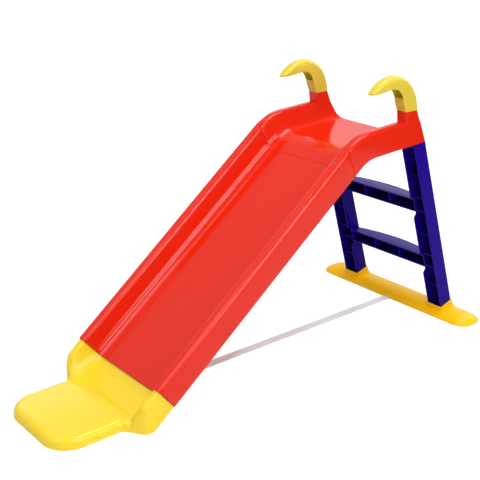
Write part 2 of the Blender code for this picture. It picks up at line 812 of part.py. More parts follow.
def leg_channel(side):
    """A leg, open to the front, with its inner flange cut back round each tread."""
    rings = [channel_ring(LEG_BOTTOM_Z, side)]
    for top in TREAD_TOPS:
        start = top - TREAD_HEIGHT - NOTCH_BELOW
        levels = [(start + rise, share) for rise, share in NOTCH_SHAPE]
        levels += [(top - 0.002, 1.0), (top + 0.003, 0.75), (top + 0.007, 0.0)]
        for z, share in levels:
            rings.append(channel_ring(z, side, (TREAD_SETBACK + 0.0006) * share))
    rings.append(channel_ring(leg_top, side))
    return loft(rings)


def leg_plate(low, high, setback, side):
    """Level plate between the flanges of a leg, let into the walls by a millimetre."""
    sink = 0.001
    rings = []
    for height in (low, high):
        ring = []
        for depth, edge, step in ((setback, 0, WALL - sink), (setback, 1, sink - WALL),
                                  (LEG_DEPTH - WALL + sink, 1, sink - WALL),
                                  (LEG_DEPTH - WALL + sink, 0, WALL - sink)):
            z = height(depth) - sink if callable(height) else height
            ring.append(leg_point(z, depth, leg_sides(z)[edge] + step, side))
        rings.append(ring)
    return loft(rings)


def build_ladder(material):
    legs = merge_shapes([leg_channel(side) for side in (1, -1)])
    item = make_object("ladder", *legs, material)
    plates = []
    for side in (1, -1):
        plates.append(leg_plate(LEG_BOTTOM_Z + 0.0005, LEG_BOTTOM_Z + WALL, 0.002, side))
        plates.append(leg_plate(RIB_TOP - RIB_THICK, leg_top, 0.002, side))
        for z in RIB_HEIGHTS:
            plates.append(leg_plate(z - RIB_THICK / 2, z + RIB_THICK / 2, RIB_SETBACK, side))
    fuse(item, make_object("plate_tool", *merge_shapes(plates)))
    treads = [tread_solid(top) for top in TREAD_TOPS]
    fuse(item, make_object("tread_tool", *merge_shapes(treads)))
    tenons = []
    for side in (1, -1):
        tenons.append(loft([tenon_ring(z, side) for z in (RIB_TOP - 0.001, 0.615, TENON_TOP)]))
    fuse(item, make_object("tenon_tool", *merge_shapes(tenons)))
    cells = []
    for top in TREAD_TOPS:
        cells += tread_cells(top)
    cut(item, make_object("tread_cell_tool", *merge_shapes(cells)))
    holes = []
    for side in (1, -1):
        x, y, _ = foot_screw_place(side)
        holes.append(cylinder((x, y, 0.0), (0, 0, 1), 0.034, HOLE_RADIUS))
        holes.append(cylinder((0.440, side * POST_MIDDLE_Y, POST_SCREW_Z), (1, 0, 0), 0.05, HOLE_RADIUS))
    cut(item, make_object("ladder_hole_tool", *merge_shapes(holes)))
    return item


def tread_outline(top, z, y0, y1, front, rear_inset, steps=8):
    """Plan ring of a tread between y0 and y1 at height z, with its rear edge bowed out."""
    half = leg_sides(top)[0] + TREAD_HOLD
    ring = []
    for k in range(steps + 1):
        y = y0 + (y1 - y0) * k / steps
        bow = TREAD_BOW * (1 - (y / half) ** 2)
        ring.append(leg_point(z, LEG_DEPTH + TREAD_REAR + bow - rear_inset, y))
    ring.append(leg_point(z, front, y1))
    ring.append(leg_point(z, front, y0))
    return ring


def tread_solid(top):
    half = leg_sides(top)[0] + TREAD_HOLD
    rings = []
    low = top - TREAD_HEIGHT
    for z, inset in ((top, 0.004), (top - 0.0012, 0.0014), (top - 0.004, 0.0),
                     (low + 0.003, 0.0), (low, 0.002)):
        rings.append(tread_outline(top, z, -half, half, TREAD_SETBACK, inset))
    return loft(rings)


def tread_cells(top):
    """The pockets in a tread's front, split by its ribs."""
    half = leg_sides(top)[0] - 0.0005
    width = 2 * half / (TREAD_RIBS + 1)
    cells = []
    for k in range(TREAD_RIBS + 1):
        y0 = -half + width * k + (RIB_THICK / 2 if k else 0.0)
        y1 = -half + width * (k + 1) - (RIB_THICK / 2 if k < TREAD_RIBS else 0.0)
        rings = [tread_outline(top, z, y0, y1, TREAD_SETBACK - 0.01, WALL, 3)
                 for z in (top - WALL, top - TREAD_HEIGHT + WALL)]
        cells.append(loft(rings))
    return cells


def tenon_ring(z, side):
    """Ring of the leg's tenon, which fills the post's bore with a small clearance."""
    x0, x1, y0, y1 = post_section(z, -WALL - 0.0005)
    lean = leg_point(z, 0.005, 0).x
    front = max(x0, lean)
    return [(front, side * y0, z), (front, side * y1, z), (x1, side * y1, z), (x1, side * y0, z)]


def foot_screw_place(side):
    inner, outer = leg_sides(COLLAR_Z)
    point = leg_point(LEG_BOTTOM_Z, LEG_DEPTH / 2, (inner + outer) / 2, side)
    return point.x, point.y, point.z


def dome_rings(inset):
    """Rings of the bar's D-shaped dome, from its rim to its ridge; inset is the wall."""
    rise = BAR_HEIGHT - BAR_RIM - inset
    bottom = 0.0 if inset == 0.0 else -0.002
    levels = [(0.0, bottom), (0.0, BAR_RIM)]
    for angle in (17, 34, 51, 67, 81):
        turn = math.radians(angle)
        levels.append(((BAR_HALF_WIDTH - inset) * (1 - math.cos(turn)), BAR_RIM + rise * math.sin(turn)))
    rings = []
    for inward, z in levels:
        step = inset + inward
        half_width = BAR_HALF_WIDTH - step
        half_length = BAR_HALF_LENGTH - step
        radius = min(max(BAR_CORNER - step, 0.004), half_width * 0.95)
        outline = rounded_rectangle(BAR_X - half_width, BAR_X + half_width,
                                    -half_length, half_length, radius, 5)
        rings.append([(x, y, z) for x, y in outline])
    return rings


def collar_level(share):
    """Level of a collar ring as a function of depth, from the dome at 0 to the collar's top at 1."""
    def level(depth):
        low = 0.009 + 0.22 * depth
        high = COLLAR_Z + depth * math.sin(LEG_LEAN)
        return low + (high - low) * share
    return level


def build_base_bar(material):
    item = make_object("base_bar", *loft(dome_rings(0.0)), material)
    cut(item, make_object("bar_hollow_tool", *loft(dome_rings(WALL))))
    collars = []
    for side in (1, -1):
        rings = [leg_ring(0.0, SOCKET_WALL, side)]
        for share, out in ((0.0, 0.9), (0.08, 1.0), (0.2, 0.55), (0.38, 0.22), (0.65, 0.04)):
            rings.append(leg_ring(collar_level(share), SOCKET_WALL + SOCKET_FLARE * out, side))
        rings.append(leg_ring(collar_level(0.96), SOCKET_WALL, side))
        rings.append(leg_ring(collar_level(1.0), SOCKET_WALL - 0.001, side))
        collars.append(loft(rings))
    fuse(item, make_object("collar_tool", *merge_shapes(collars)))
    sockets = []
    for side in (1, -1):
        rings = [leg_ring(LEG_BOTTOM_Z - GAP, GAP, side), leg_ring(0.075, GAP, side)]
        sockets.append(loft(rings))
    cut(item, make_object("socket_tool", *merge_shapes(sockets)))
    boss = cylinder((STRAP_SCREW_REAR, 0, BOSS_FOOT), (0, 0, 1), BAR_BOSS, BOSS_RADIUS, 12)
    fuse(item, make_object("bar_boss_tool", *boss))
    slot = box((BAR_X - 0.08, -STRAP_HALF - 0.001, -0.01), (BAR_X, STRAP_HALF + 0.001, STRAP_THICK + 0.0007))
    cut(item, make_object("strap_slot_tool", *slot))
    holes = [cylinder((STRAP_SCREW_REAR, 0, -0.002), (0, 0, 1), BOSS_HOLE, HOLE_RADIUS)]
    for side in (1, -1):
        x, y, _ = foot_screw_place(side)
        holes.append(cylinder((x, y, -0.002), (0, 0, 1), 0.02, HOLE_RADIUS))
    cut(item, make_object("bar_hole_tool", *merge_shapes(holes)))
    counters = []
    for side in (1, -1):
        x, y, _ = foot_screw_place(side)
        counters.append(cylinder((x, y, -0.002), (0, 0, 1), 0.0055, HEAD_RADIUS + GAP))
    cut(item, make_object("bar_counter_tool", *merge_shapes(counters)))
    return item


def spline(points, t):
    """Point at t on a smooth curve through the points, t counting them from 0."""
    k = min(int(t), len(points) - 2)
    share = t - k
    p = [Vector(points[min(max(k + step, 0), len(points) - 1)]) for step in (-1, 0, 1, 2)]
    if k == 0:
        p[0] = 2 * p[1] - p[2]
    if k == len(points) - 2:
        p[3] = 2 * p[2] - p[1]
    square = share * share
    return 0.5 * (2 * p[1] + (p[2] - p[0]) * share + (2 * p[0] - 5 * p[1] + 4 * p[2] - p[3]) * square
                  + (3 * p[1] - p[0] - 3 * p[2] + p[3]) * square * share)


def grip_ring(t, inset, side, reach=0.0):
    """Ring of the grip, square across it; rounder on the back than on the concave side.

    reach carries the ring's concave side out past the grip, to cut the mouth.
    """
    back = spline(GRIP_BACK, t)
    front = spline(GRIP_FRONT, t)
    across = (back - front).normalized()
    depth = (back - front).length
    half = spline([(half, 0.0) for half in GRIP_HALVES], t)[0] - inset
    start = -reach if reach else inset
    end = depth - inset
    back_round = GRIP_ROUND_POST + (GRIP_ROUND_HOOK - GRIP_ROUND_POST) * smooth(t / 6)
    back_round = min(back_round, 0.9 * (half + inset), 0.45 * depth) - inset * 0.6
    front_round = 0.001 if reach else 0.003
    outline = [(start + front_round, -half), (end - back_round, -half)]
    for angle in (-60, -30, 0, 30, 60):
        turn = math.radians(angle)
        rise = math.copysign(half - back_round, angle) + back_round * math.sin(turn) if angle else 0.0
        outline.append((end - back_round + back_round * math.cos(turn), rise))
    outline += [(end - back_round, half), (start + front_round, half),
                (start, half - front_round), (start, -half + front_round)]
    ring = []
    for along, y in outline:
        spot = front + across * along
        ring.append(Vector((spot.x, side * (GRIP_Y + y), spot.y)))
    return ring


def grip_tenon_ring(z, side, inset):
    x0, x1, y0, y1 = post_section(z, -WALL - 0.0005 - inset)
    return [(x, side * y, z) for x, y in rounded_rectangle(x0, x1, y0, y1, 0.0015, 1)]


def build_grip(name, side, material):
    count = 2 * (len(GRIP_BACK) - 1)
    rings = [grip_ring(k / 2, 0.0, side) for k in range(count + 1)]
    tip_x, tip_z = GRIP_TIP
    rings.append([Vector((0.35 * p.x + 0.65 * tip_x, side * GRIP_Y + 0.6 * (p.y - side * GRIP_Y),
                          0.35 * p.z + 0.65 * tip_z)) for p in rings[-1]])
    item = make_object(name, *loft(rings), material)
    seat = POST_TOP + GAP
    tenon = [grip_tenon_ring(z, side, 0.0) for z in (seat - GRIP_TENON, seat - 0.01, seat + 0.006)]
    fuse(item, make_object(name + "_tenon_tool", *loft(tenon)))
    levels = (seat - GRIP_TENON - 0.01, seat - 0.01, seat + 0.012)
    bore = [grip_tenon_ring(z, side, GRIP_WALL) for z in levels]
    cut(item, make_object(name + "_bore_tool", *loft(bore)))
    hollow = [grip_ring(t, GRIP_WALL, side) for t in (0.2, 1, 2, MOUTH_FIRST)]
    hollow += [grip_ring(t, GRIP_WALL, side, MOUTH_REACH)
               for t in (MOUTH_FIRST + 0.1, MOUTH_FIRST + 0.6, 3.5, 4, 4.5, 5, 5.5, 6, 6.5, 7, MOUTH_LAST)]
    cut(item, make_object(name + "_hollow_tool", *loft(hollow)))
    hole = cylinder((0.440, side * POST_MIDDLE_Y, GRIP_SCREW_Z), (1, 0, 0), 0.06, HOLE_RADIUS)
    cut(item, make_object(name + "_hole_tool", *hole))
    return item


def build_strap(material):
    ends = ((STRAP_FRONT, 1), (STRAP_REAR, -1))
    outline = []
    for x, toward in ends:
        middle = x + toward * STRAP_HALF
        for k in range(7):
            angle = math.radians(-90 + 30 * k)
            outline.append((middle - toward * STRAP_HALF * math.cos(angle),
                            -toward * STRAP_HALF * math.sin(angle)))
    rings = [[(x, y, z) for x, y in outline] for z in (0.0, STRAP_THICK)]
    item = make_object("tie_strap", *loft(rings), material)
    sinks = []
    for x in (STRAP_SCREW_FRONT, STRAP_SCREW_REAR):
        sinks.append(cylinder((x, 0, -0.0002), (0, 0, 1), STRAP_THICK + 0.0004, HEAD_RADIUS + 0.0006, 12,
                              HOLE_RADIUS + 0.0002))
    cut(item, make_object("strap_sink_tool", *merge_shapes(sinks)))
    return item


def make_screw(name, head_seat, axis, shank, material):
    """Pan-head screw; axis points from the shank to the head, and head_seat is under the head."""
    sides = 12
    axis = Vector(axis).normalized()
    turn = Vector((0, 0, 1)).rotation_difference(axis).to_matrix().to_4x4()
    place = Matrix.Translation(Vector(head_seat)) @ turn
    profile = [(SCREW_RADIUS * 0.4, -shank), (SCREW_RADIUS, -shank + 0.002), (SCREW_RADIUS, 0.0),
               (HEAD_RADIUS, 0.0), (HEAD_RADIUS, HEAD_HIGH * 0.45), (HEAD_RADIUS * 0.72, HEAD_HIGH * 0.9),
               (HEAD_RADIUS * 0.4, HEAD_HIGH)]
    rings = []
    for radius, height in profile:
        ring = []
        for k in range(sides):
            angle = 2 * math.pi * k / sides
            ring.append(place @ Vector((radius * math.cos(angle), radius * math.sin(angle), height)))
        rings.append(ring)
    return make_object(name, *loft(rings), material)


def make_countersunk(name, x, material):
    """Countersunk screw driven up through the strap."""
    profile = [(HEAD_RADIUS, 0.0004), (SCREW_RADIUS, STRAP_THICK + 0.0002), (SCREW_RADIUS, 0.0135),
               (SCREW_RADIUS * 0.4, 0.0152)]
    angles = [math.radians(30 * k) for k in range(12)]
    rings = []
    for radius, height in profile:
        rings.append([(x + radius * math.cos(a), radius * math.sin(a), height) for a in angles])
    return make_object(name, *loft(rings), material)


def build_screws(material):
    for name, side in (("left", 1), ("right", -1)):
        crest = crest_at(SEAM_SCREW_S)
        seat, up = screw_place(SEAM_SCREW_S, side * RAIL_MIDDLE, crest - SEAM_RECESS + GAP)
        make_screw("seam_screw_" + name, seat, up, SEAM_SHANK, material)
        lap_inside = crest_at(LAP_SCREW_S) - 2 * WALL - LAP_GAP - 0.0004
        seat, up = screw_place(LAP_SCREW_S, side * RAIL_MIDDLE, lap_inside)
        make_screw("landing_screw_" + name, seat, -up, LAP_SHANK, material)
        for kind, z in (("post_screw_", POST_SCREW_Z), ("grip_screw_", GRIP_SCREW_Z)):
            rear = REAR_X - (z - REAR_Z) * math.tan(POST_LEAN)
            seat_x = rear + HEAD_RADIUS * math.tan(POST_LEAN) + GAP
            make_screw(kind + name, (seat_x, side * POST_MIDDLE_Y, z), (1, 0, 0), POST_SHANK, material)
        x, y, _ = foot_screw_place(side)
        make_screw("foot_screw_" + name, (x, y, FOOT_SEAT), (0, 0, -1), FOOT_SHANK, material)
    make_countersunk("strap_screw_front", STRAP_SCREW_FRONT, material)
    make_countersunk("strap_screw_rear", STRAP_SCREW_REAR, material)


def main():
    clear_scene()
    red = make_material("red_plastic", RED, 0.22)
    yellow = make_material("yellow_plastic", YELLOW, 0.25)
    indigo = make_material("indigo_plastic", INDIGO, 0.28)
    grey = make_material("strap_plastic", STRAP_GREY, 0.5)
    steel = make_material("zinc_steel", STEEL, 0.35, 1.0)
    build_upper_chute(red)
    build_lower_chute(red)
    build_landing(yellow)
    build_ladder(indigo)
    build_base_bar(yellow)
    build_grip("handle_left", 1, yellow)
    build_grip("handle_right", -1, yellow)
    build_strap(grey)
    build_screws(steel)


main()
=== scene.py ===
# %% [markdown]
# This lesson dresses a toddler's slide. The construction is already fixed and arrives as a frame of
# plain solids. Here each shell is made again with a fine surface, because glossy plastic shows every
# flat facet, and each surface gets the finish of the real moulding.

# %% Load the frame
from math import cos, degrees, hypot, pi, radians, sin, sqrt, tan

import bmesh
import bpy
from mathutils import Matrix, Vector


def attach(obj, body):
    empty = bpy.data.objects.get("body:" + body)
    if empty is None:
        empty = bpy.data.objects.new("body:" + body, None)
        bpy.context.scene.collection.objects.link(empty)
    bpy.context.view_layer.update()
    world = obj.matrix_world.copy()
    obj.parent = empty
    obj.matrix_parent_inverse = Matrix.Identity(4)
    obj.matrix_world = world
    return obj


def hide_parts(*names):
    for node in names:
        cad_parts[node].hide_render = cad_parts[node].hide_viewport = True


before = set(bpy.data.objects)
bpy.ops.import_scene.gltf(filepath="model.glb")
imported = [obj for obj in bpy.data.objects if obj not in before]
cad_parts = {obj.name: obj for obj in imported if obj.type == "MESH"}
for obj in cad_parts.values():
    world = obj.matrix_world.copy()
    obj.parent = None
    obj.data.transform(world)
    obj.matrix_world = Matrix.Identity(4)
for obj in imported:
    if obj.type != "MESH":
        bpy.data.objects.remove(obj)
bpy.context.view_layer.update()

print("frame loaded:", len(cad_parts), "nodes")

# %% [markdown]
# The camera comes early, so that every later piece can be judged in the right view. A long lens far
# from the slide keeps its lines nearly parallel, as product pictures do. The place was worked out from
# straight edges whose real directions are known.

# %% Camera
CAMERA_PLACE = (-1.54357, -1.85259, 1.23939)
CAMERA_RIGHT = Vector((0.774263, -0.632864, -0.000106))
CAMERA_UP = Vector((0.219826, 0.268784, 0.937780))
FOCAL_PIXELS = 910.02
PHOTO_SIDE = 480.0
SENSOR_MM = 36.0


def placed(name, data):
    """A new object in the scene."""
    item = bpy.data.objects.new(name, data)
    bpy.context.scene.collection.objects.link(item)
    return item


camera = placed("studio_camera", bpy.data.cameras.new("studio_camera"))
camera.data.sensor_width = SENSOR_MM
camera.data.lens = FOCAL_PIXELS * SENSOR_MM / PHOTO_SIDE
turn = Matrix((CAMERA_RIGHT, CAMERA_UP, CAMERA_RIGHT.cross(CAMERA_UP))).transposed()
camera.matrix_world = Matrix.Translation(CAMERA_PLACE) @ turn.to_4x4()
bpy.context.scene.camera = camera
print("camera lens", round(camera.data.lens, 2), "mm")

# %% [markdown]
# Colours are written as the hex values that a colour picker shows. Blender's shaders work in linear
# light, so one function does the turning. Another adds any node at all, with its settings, its plain
# values and its links, which keeps the material cells short.

# %% Colour and node helpers
def linear(text):
    values = []
    for start in (0, 2, 4):
        part = int(text[start:start + 2], 16) / 255.0
        values.append(part / 12.92 if part <= 0.04045 else ((part + 0.055) / 1.055) ** 2.4)
    return (*values, 1.0)


def tune(node, values):
    for key, value in values.items():
        node.inputs[key].default_value = value


def wire(tree, node, links):
    for key, (source, output) in links.items():
        tree.links.new(source.outputs[output], node.inputs[key])


def add(tree, kind, settings=None, values=None, links=None):
    """Add a node; values and links are keyed by input name or number, links hold (node, output)."""
    node = tree.nodes.new(kind)
    for key, value in (settings or {}).items():
        setattr(node, key, value)
    tune(node, values or {})
    wire(tree, node, links or {})
    return node


def new_material(name):
    """A material, its tree, its shader, and the object's own coordinates as (node, output)."""
    material = bpy.data.materials.new(name)
    material.use_nodes = True
    tree = material.node_tree
    return material, tree, tree.nodes["Principled BSDF"], (add(tree, "ShaderNodeTexCoord"), "Object")


def two_tone(tree, shader, colour, other, mix):
    """Let the shader's colour wander between two colours."""
    tint = add(tree, "ShaderNodeMix", {"data_type": "RGBA"}, {6: linear(colour), 7: linear(other)}, {0: mix})
    wire(tree, shader, {"Base Color": (tint, 2)})


print("yellow F2D22A is", [round(v, 3) for v in linear("F2D22A")], "in linear light")

# %% [markdown]
# The shells are polypropylene, injected into polished steel moulds. The mould's polish gives a wet
# gloss, but the wall shrinks a little unevenly as it cools, so reflections of straight lamps come out
# wavy. Handling leaves faint hair scratches. Three patterns say that: a slow wave of the surface, a
# fine peel, and scratches that change only the roughness. The colour itself drifts a trace where the
# pigment flowed. A real peel is about 1 mm across and a real scratch about 0.1 mm wide. Both are too
# fine for a picture of the whole slide, so they are drawn coarser.

# %% Moulded polypropylene
WAVE_MM = 70.0
WAVE_HIGH = 0.00012
PEEL_MM = 3.5
PEEL_HIGH = 0.000012
SCRATCH_MM = 14.0
SCRATCH_DULL = 0.04
FLOW_MM = 220.0


def moulded_polypropylene(name, colour, flow_colour, roughness, shine=0.5):
    """Glossy moulded plastic; the sizes of its patterns are millimetres over the object."""
    material, tree, shader, here = new_material(name)
    flow = add(tree, "ShaderNodeTexNoise", links={"Vector": here},
               values={"Scale": 1000.0 / FLOW_MM, "Detail": 2.0, "Distortion": 0.6})
    two_tone(tree, shader, colour, flow_colour, (flow, "Fac"))
    # Scratches: a stretched noise, so that they run mostly down the slide
    stretch = add(tree, "ShaderNodeMapping", links={"Vector": here},
                  values={"Rotation": (0.0, 0.667, 0.0), "Scale": (0.12, 1.0, 1.0)})
    scratch = add(tree, "ShaderNodeTexNoise", links={"Vector": (stretch, "Vector")},
                  values={"Scale": 1000.0 / SCRATCH_MM, "Detail": 6.0, "Roughness": 0.72})
    matte = add(tree, "ShaderNodeMapRange", links={"Value": (scratch, "Fac")},
                values={"From Min": 0.52, "From Max": 0.75,
                        "To Min": roughness, "To Max": roughness + SCRATCH_DULL})
    slow = add(tree, "ShaderNodeTexNoise", links={"Vector": here},
               values={"Scale": 1000.0 / WAVE_MM, "Detail": 1.0})
    peel = add(tree, "ShaderNodeTexNoise", links={"Vector": here},
               values={"Scale": 1000.0 / PEEL_MM, "Detail": 2.0})
    fine = add(tree, "ShaderNodeBump", values={"Strength": 0.35, "Distance": PEEL_HIGH},
               links={"Height": (peel, "Fac")})
    broad = add(tree, "ShaderNodeBump", values={"Strength": 1.0, "Distance": WAVE_HIGH},
                links={"Height": (slow, "Fac"), "Normal": (fine, "Normal")})
    wire(tree, shader, {"Roughness": (matte, "Result"), "Normal": (broad, "Normal")})
    tune(shader, {"IOR": 1.49, "Specular IOR Level": shine})
    return material


red = moulded_polypropylene("red_moulded_polypropylene", "DD2106", "D92308", 0.13)
yellow = moulded_polypropylene("yellow_moulded_polypropylene", "F2D22A", "EFCE26", 0.19)
# The bar's yellow is written brighter and more orange than the run-out's: partly its own deeper tone, partly
# painted light that lifts the bar where the deck and ladder shade it
amber = moulded_polypropylene("amber_moulded_polypropylene", "FBC50A", "F8C208", 0.28, 0.20)
straw = moulded_polypropylene("straw_moulded_polypropylene", "DBC342", "D8BF3E", 0.34)
indigo = moulded_polypropylene("indigo_moulded_polypropylene", "1C007E", "1F0284", 0.24, 0.07)
# Thin walls of this pale yellow let light through, so the hook's mouth glows a little green
tune(straw.node_tree.nodes["Principled BSDF"],
     {"Subsurface Weight": 0.6, "Subsurface Radius": (0.7, 1.0, 0.3), "Subsurface Scale": 0.014})
print("moulded plastics:", red.name, yellow.name, amber.name, straw.name, indigo.name)

# %% [markdown]
# The strap is an extruded strip of soft pale polyethylene. The die leaves fine lines along it, which
# only a close view shows, and the surface is satin. The screws are zinc-plated steel, pressed cold, and
# the crystals of the plating mottle them slightly.

# %% Extruded strap and zinc plating
DIE_LINE_MM = 0.7
DIE_LINE_HIGH = 0.00003
CRYSTAL_MM = 0.8


def extruded_strip(name, colour, line_colour):
    material, tree, shader, here = new_material(name)
    drawn = add(tree, "ShaderNodeMapping", values={"Scale": (0.01, 1.0, 1.0)}, links={"Vector": here})
    lines = add(tree, "ShaderNodeTexNoise", links={"Vector": (drawn, "Vector")},
                values={"Scale": 1000.0 / DIE_LINE_MM, "Detail": 3.0})
    two_tone(tree, shader, colour, line_colour, (lines, "Fac"))
    bump = add(tree, "ShaderNodeBump", values={"Strength": 0.5, "Distance": DIE_LINE_HIGH},
               links={"Height": (lines, "Fac")})
    wire(tree, shader, {"Normal": (bump, "Normal")})
    tune(shader, {"Roughness": 0.5})
    return material


def zinc_plate(name, colour, crystal_colour):
    material, tree, shader, here = new_material(name)
    spangle = add(tree, "ShaderNodeTexVoronoi", values={"Scale": 1000.0 / CRYSTAL_MM}, links={"Vector": here})
    two_tone(tree, shader, colour, crystal_colour, (spangle, "Distance"))
    matte = add(tree, "ShaderNodeMapRange", values={"To Min": 0.38, "To Max": 0.55},
                links={"Value": (spangle, "Distance")})
    wire(tree, shader, {"Roughness": (matte, "Result")})
    tune(shader, {"Metallic": 1.0})
    return material


# The strap's colour is written near white with a trace of cyan: painted light that lifts it out of the
# slide's shadow and cancels the pink light the red chute throws on it
strap_grey = extruded_strip("grey_extruded_polyethylene", "F0F8F8", "EDF5F5")
zinc = zinc_plate("zinc_plated_steel", "8C8D8F", "77797D")
print("strip and plating:", strap_grey.name, zinc.name)

# %% [markdown]
# Each shell below is points and faces worked out by a rule. These helpers space the rows evenly, turn
# points and faces into a smooth object, bake its modifiers into a plain mesh, and hand it to the frame
# as the stand-in for its solid. Booleans are run with the exact solver and then baked, so nothing live
# stays on a finished piece.

# %% Mesh helpers
def spread(start, end, steps):
    """Evenly spaced numbers from start to end, both included."""
    return [start + (end - start) * k / steps for k in range(steps + 1)]


def sines(steps):
    """From 0 to 1 by even angles, so the last numbers lie close together."""
    return [sin(radians(angle)) for angle in spread(0, 90, steps)]


def shaded(mesh, sharp):
    mesh.shade_smooth()
    mesh.set_sharp_from_angle(angle=radians(sharp))


def solid_from(name, shape, material=None, sharp=30.0):
    mesh = bpy.data.meshes.new(name)
    mesh.from_pydata([tuple(p) for p in shape[0]], [], shape[1])
    work = bmesh.new()
    work.from_mesh(mesh)
    bmesh.ops.recalc_face_normals(work, faces=work.faces)
    work.to_mesh(mesh)
    work.free()
    shaded(mesh, sharp)
    if material:
        mesh.materials.append(material)
    return placed(name, mesh)


def bake(item, sharp=30.0):
    """Turn an object's modifiers into a plain mesh."""
    bpy.context.view_layer.update()
    shape = bpy.data.meshes.new_from_object(item.evaluated_get(bpy.context.evaluated_depsgraph_get()))
    item.modifiers.clear()
    old = item.data
    item.data = shape
    shape.name = item.name
    bpy.data.meshes.remove(old)
    shaded(shape, sharp)
    return item


def thicken(item, even):
    """Give a surface its wall, on the inside."""
    wall = item.modifiers.new("wall", "SOLIDIFY")
    wall.thickness = WALL
    wall.offset = -1.0
    wall.use_even_offset = even


def round_edges(item, width, segments, angle):
    edge = item.modifiers.new("edge", "BEVEL")
    edge.width = width
    edge.segments = segments
    edge.limit_method = "ANGLE"
    edge.angle_limit = radians(angle)


def carve(item, shape, operation="DIFFERENCE"):
    """Cut the shape out of the piece, or with UNION weld it on."""
    tool = solid_from("tool", shape)
    modifier = item.modifiers.new("carve", "BOOLEAN")
    modifier.operation = operation
    modifier.solver = "EXACT"
    modifier.object = tool
    bake(item)
    bpy.data.objects.remove(tool)


def loft(rings):
    """Points and faces of a solid through closed rings of equal length, with flat ends."""
    count = len(rings[0])
    points = [point for ring in rings for point in ring]
    faces = []
    for row in range(len(rings) - 1):
        for k in range(count):
            a = row * count + k
            b = row * count + (k + 1) % count
            faces.append((a, b, b + count, a + count))
    faces.append(tuple(range(count)))
    last = (len(rings) - 1) * count
    faces.append(tuple(last + k for k in range(count)))
    return points, faces


def only_material(item, material):
    """Give the whole mesh one material."""
    item.data.materials.clear()
    item.data.materials.append(material)
    for face in item.data.polygons:
        face.material_index = 0


def joined(shapes):
    points = []
    faces = []
    for shape_points, shape_faces in shapes:
        first = len(points)
        points.extend(shape_points)
        faces.extend([tuple(first + index for index in face) for face in shape_faces])
    return points, faces


def hand_over(item, slot, *nodes):
    """The piece rides on the one rigid body and stands for the nodes of the frame."""
    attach(item, "root")
    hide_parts(*nodes)
    print(item.name, "has", len(item.data.polygons), "faces and stands for", ", ".join(nodes))


print("mesh helpers ready")

# %% [markdown]
# The chute is one section carried along one line. Half the section has four corners: the floor's edge,
# the two corners of the rail's crest, and the skirt's foot. All but the foot are rounded with an arc.
# The same function draws the inside of the wall and the nested run-out, by moving the line into the
# material. Twelve steps in each arc are enough for a highlight to run along it without a kink.

# %% Section of the chute
WALL = 0.0035
LAP_GAP = 0.0004
GAP = 0.0003
HALF_WIDTH = 0.200
FLOOR_HALF = 0.149
FLOOR_HEIGHT = 0.013
FLOOR_DISH = 0.003
FLOOR_FILLET = 0.030
RAIL_INNER = 0.1675
RAIL_ROUND = 0.0125
RAIL_MIDDLE = (RAIL_INNER + HALF_WIDTH) / 2
FLAT_END = FLOOR_HALF - 0.75 * FLOOR_FILLET
FLAT_STEPS = 10
ARC_STEPS = 12


def offset_corners(corners, distance):
    """Corner points of a polyline moved to its right by a distance."""
    lines = []
    for (x0, y0), (x1, y1) in zip(corners, corners[1:]):
        length = hypot(x1 - x0, y1 - y0)
        dx = (x1 - x0) / length
        dy = (y1 - y0) / length
        lines.append((x0 + dy * distance, y0 - dx * distance, dx, dy))
    moved = [lines[0][:2]]
    for (ax, ay, adx, ady), (bx, by, bdx, bdy) in zip(lines, lines[1:]):
        t = ((bx - ax) * bdy - (by - ay) * bdx) / (adx * bdy - ady * bdx)
        moved.append((ax + t * adx, ay + t * ady))
    ex, ey = corners[-1]
    _, _, dx, dy = lines[-1]
    moved.append((ex + dy * distance, ey - dx * distance))
    return moved


def round_corner(before, corner, after, radius):
    """Points of the arc that rounds one corner of a polyline."""
    c = Vector(corner)
    to_before = (Vector(before) - c).normalized()
    to_after = (Vector(after) - c).normalized()
    half = to_before.angle(to_after) / 2
    middle = (to_before + to_after).normalized()
    centre = c + middle * (radius / sin(half))
    start = c + to_before * (radius / tan(half)) - centre
    end = c + to_after * (radius / tan(half)) - centre
    sweep = start.angle(end)
    points = []
    for t in spread(0.0, 1.0, ARC_STEPS):
        direction = start * sin((1 - t) * sweep) + end * sin(t * sweep)
        points.append(tuple(centre + direction / sin(sweep)))
    return points


def half_section(inset, crest):
    """Half the section from the centre line to the skirt's foot, as (y, h) points."""
    corners = [(0.0, FLOOR_HEIGHT), (FLOOR_HALF, FLOOR_HEIGHT), (RAIL_INNER, crest),
               (HALF_WIDTH, crest), (HALF_WIDTH, 0.0)]
    moved = offset_corners(corners, inset)
    points = []
    for y in spread(0.0, FLAT_END, FLAT_STEPS)[:-1]:
        points.append((y, moved[0][1] - FLOOR_DISH * (1 - (y / FLAT_END) ** 2)))
    for k, radius in ((1, FLOOR_FILLET + inset), (2, RAIL_ROUND - inset), (3, RAIL_ROUND - inset)):
        points += round_corner(moved[k - 1], moved[k], moved[k + 1], radius)
    points.append((moved[4][0], 0.0))
    return points


def full_section(inset, crest):
    half = half_section(inset, crest)
    return [(-y, h) for y, h in reversed(half[1:])] + half


print("section has", len(full_section(0.0, 0.075)), "points")

# %% [markdown]
# The line that carries the section is the bottom edge of the skirt. It runs almost level along the
# deck, turns through one arc and goes straight down the slope. Everything on the chute is placed by a
# distance along this line and a height square to it.

# %% Line of the chute
REAR_X = 0.501
REAR_Z = 0.591
DECK_FALL = radians(3.7)
SLOPE = radians(38.2)
DECK_LENGTH = 0.239
BEND_RADIUS = 0.100
POST_LEAN = radians(24.0)
CHUTE_LENGTH = 1.0865
CREST_DECK = 0.0745
CREST_SEAM = 0.0785
CREST_END = 0.0725
SEAM_AT = 0.3005
SEAM_SKEW = -0.38
TONGUE = 0.038
STEP = 0.0004
COLLAR = 0.007
BEND_START = DECK_LENGTH - BEND_RADIUS * tan((SLOPE - DECK_FALL) / 2)
BEND_END = BEND_START + BEND_RADIUS * (SLOPE - DECK_FALL)


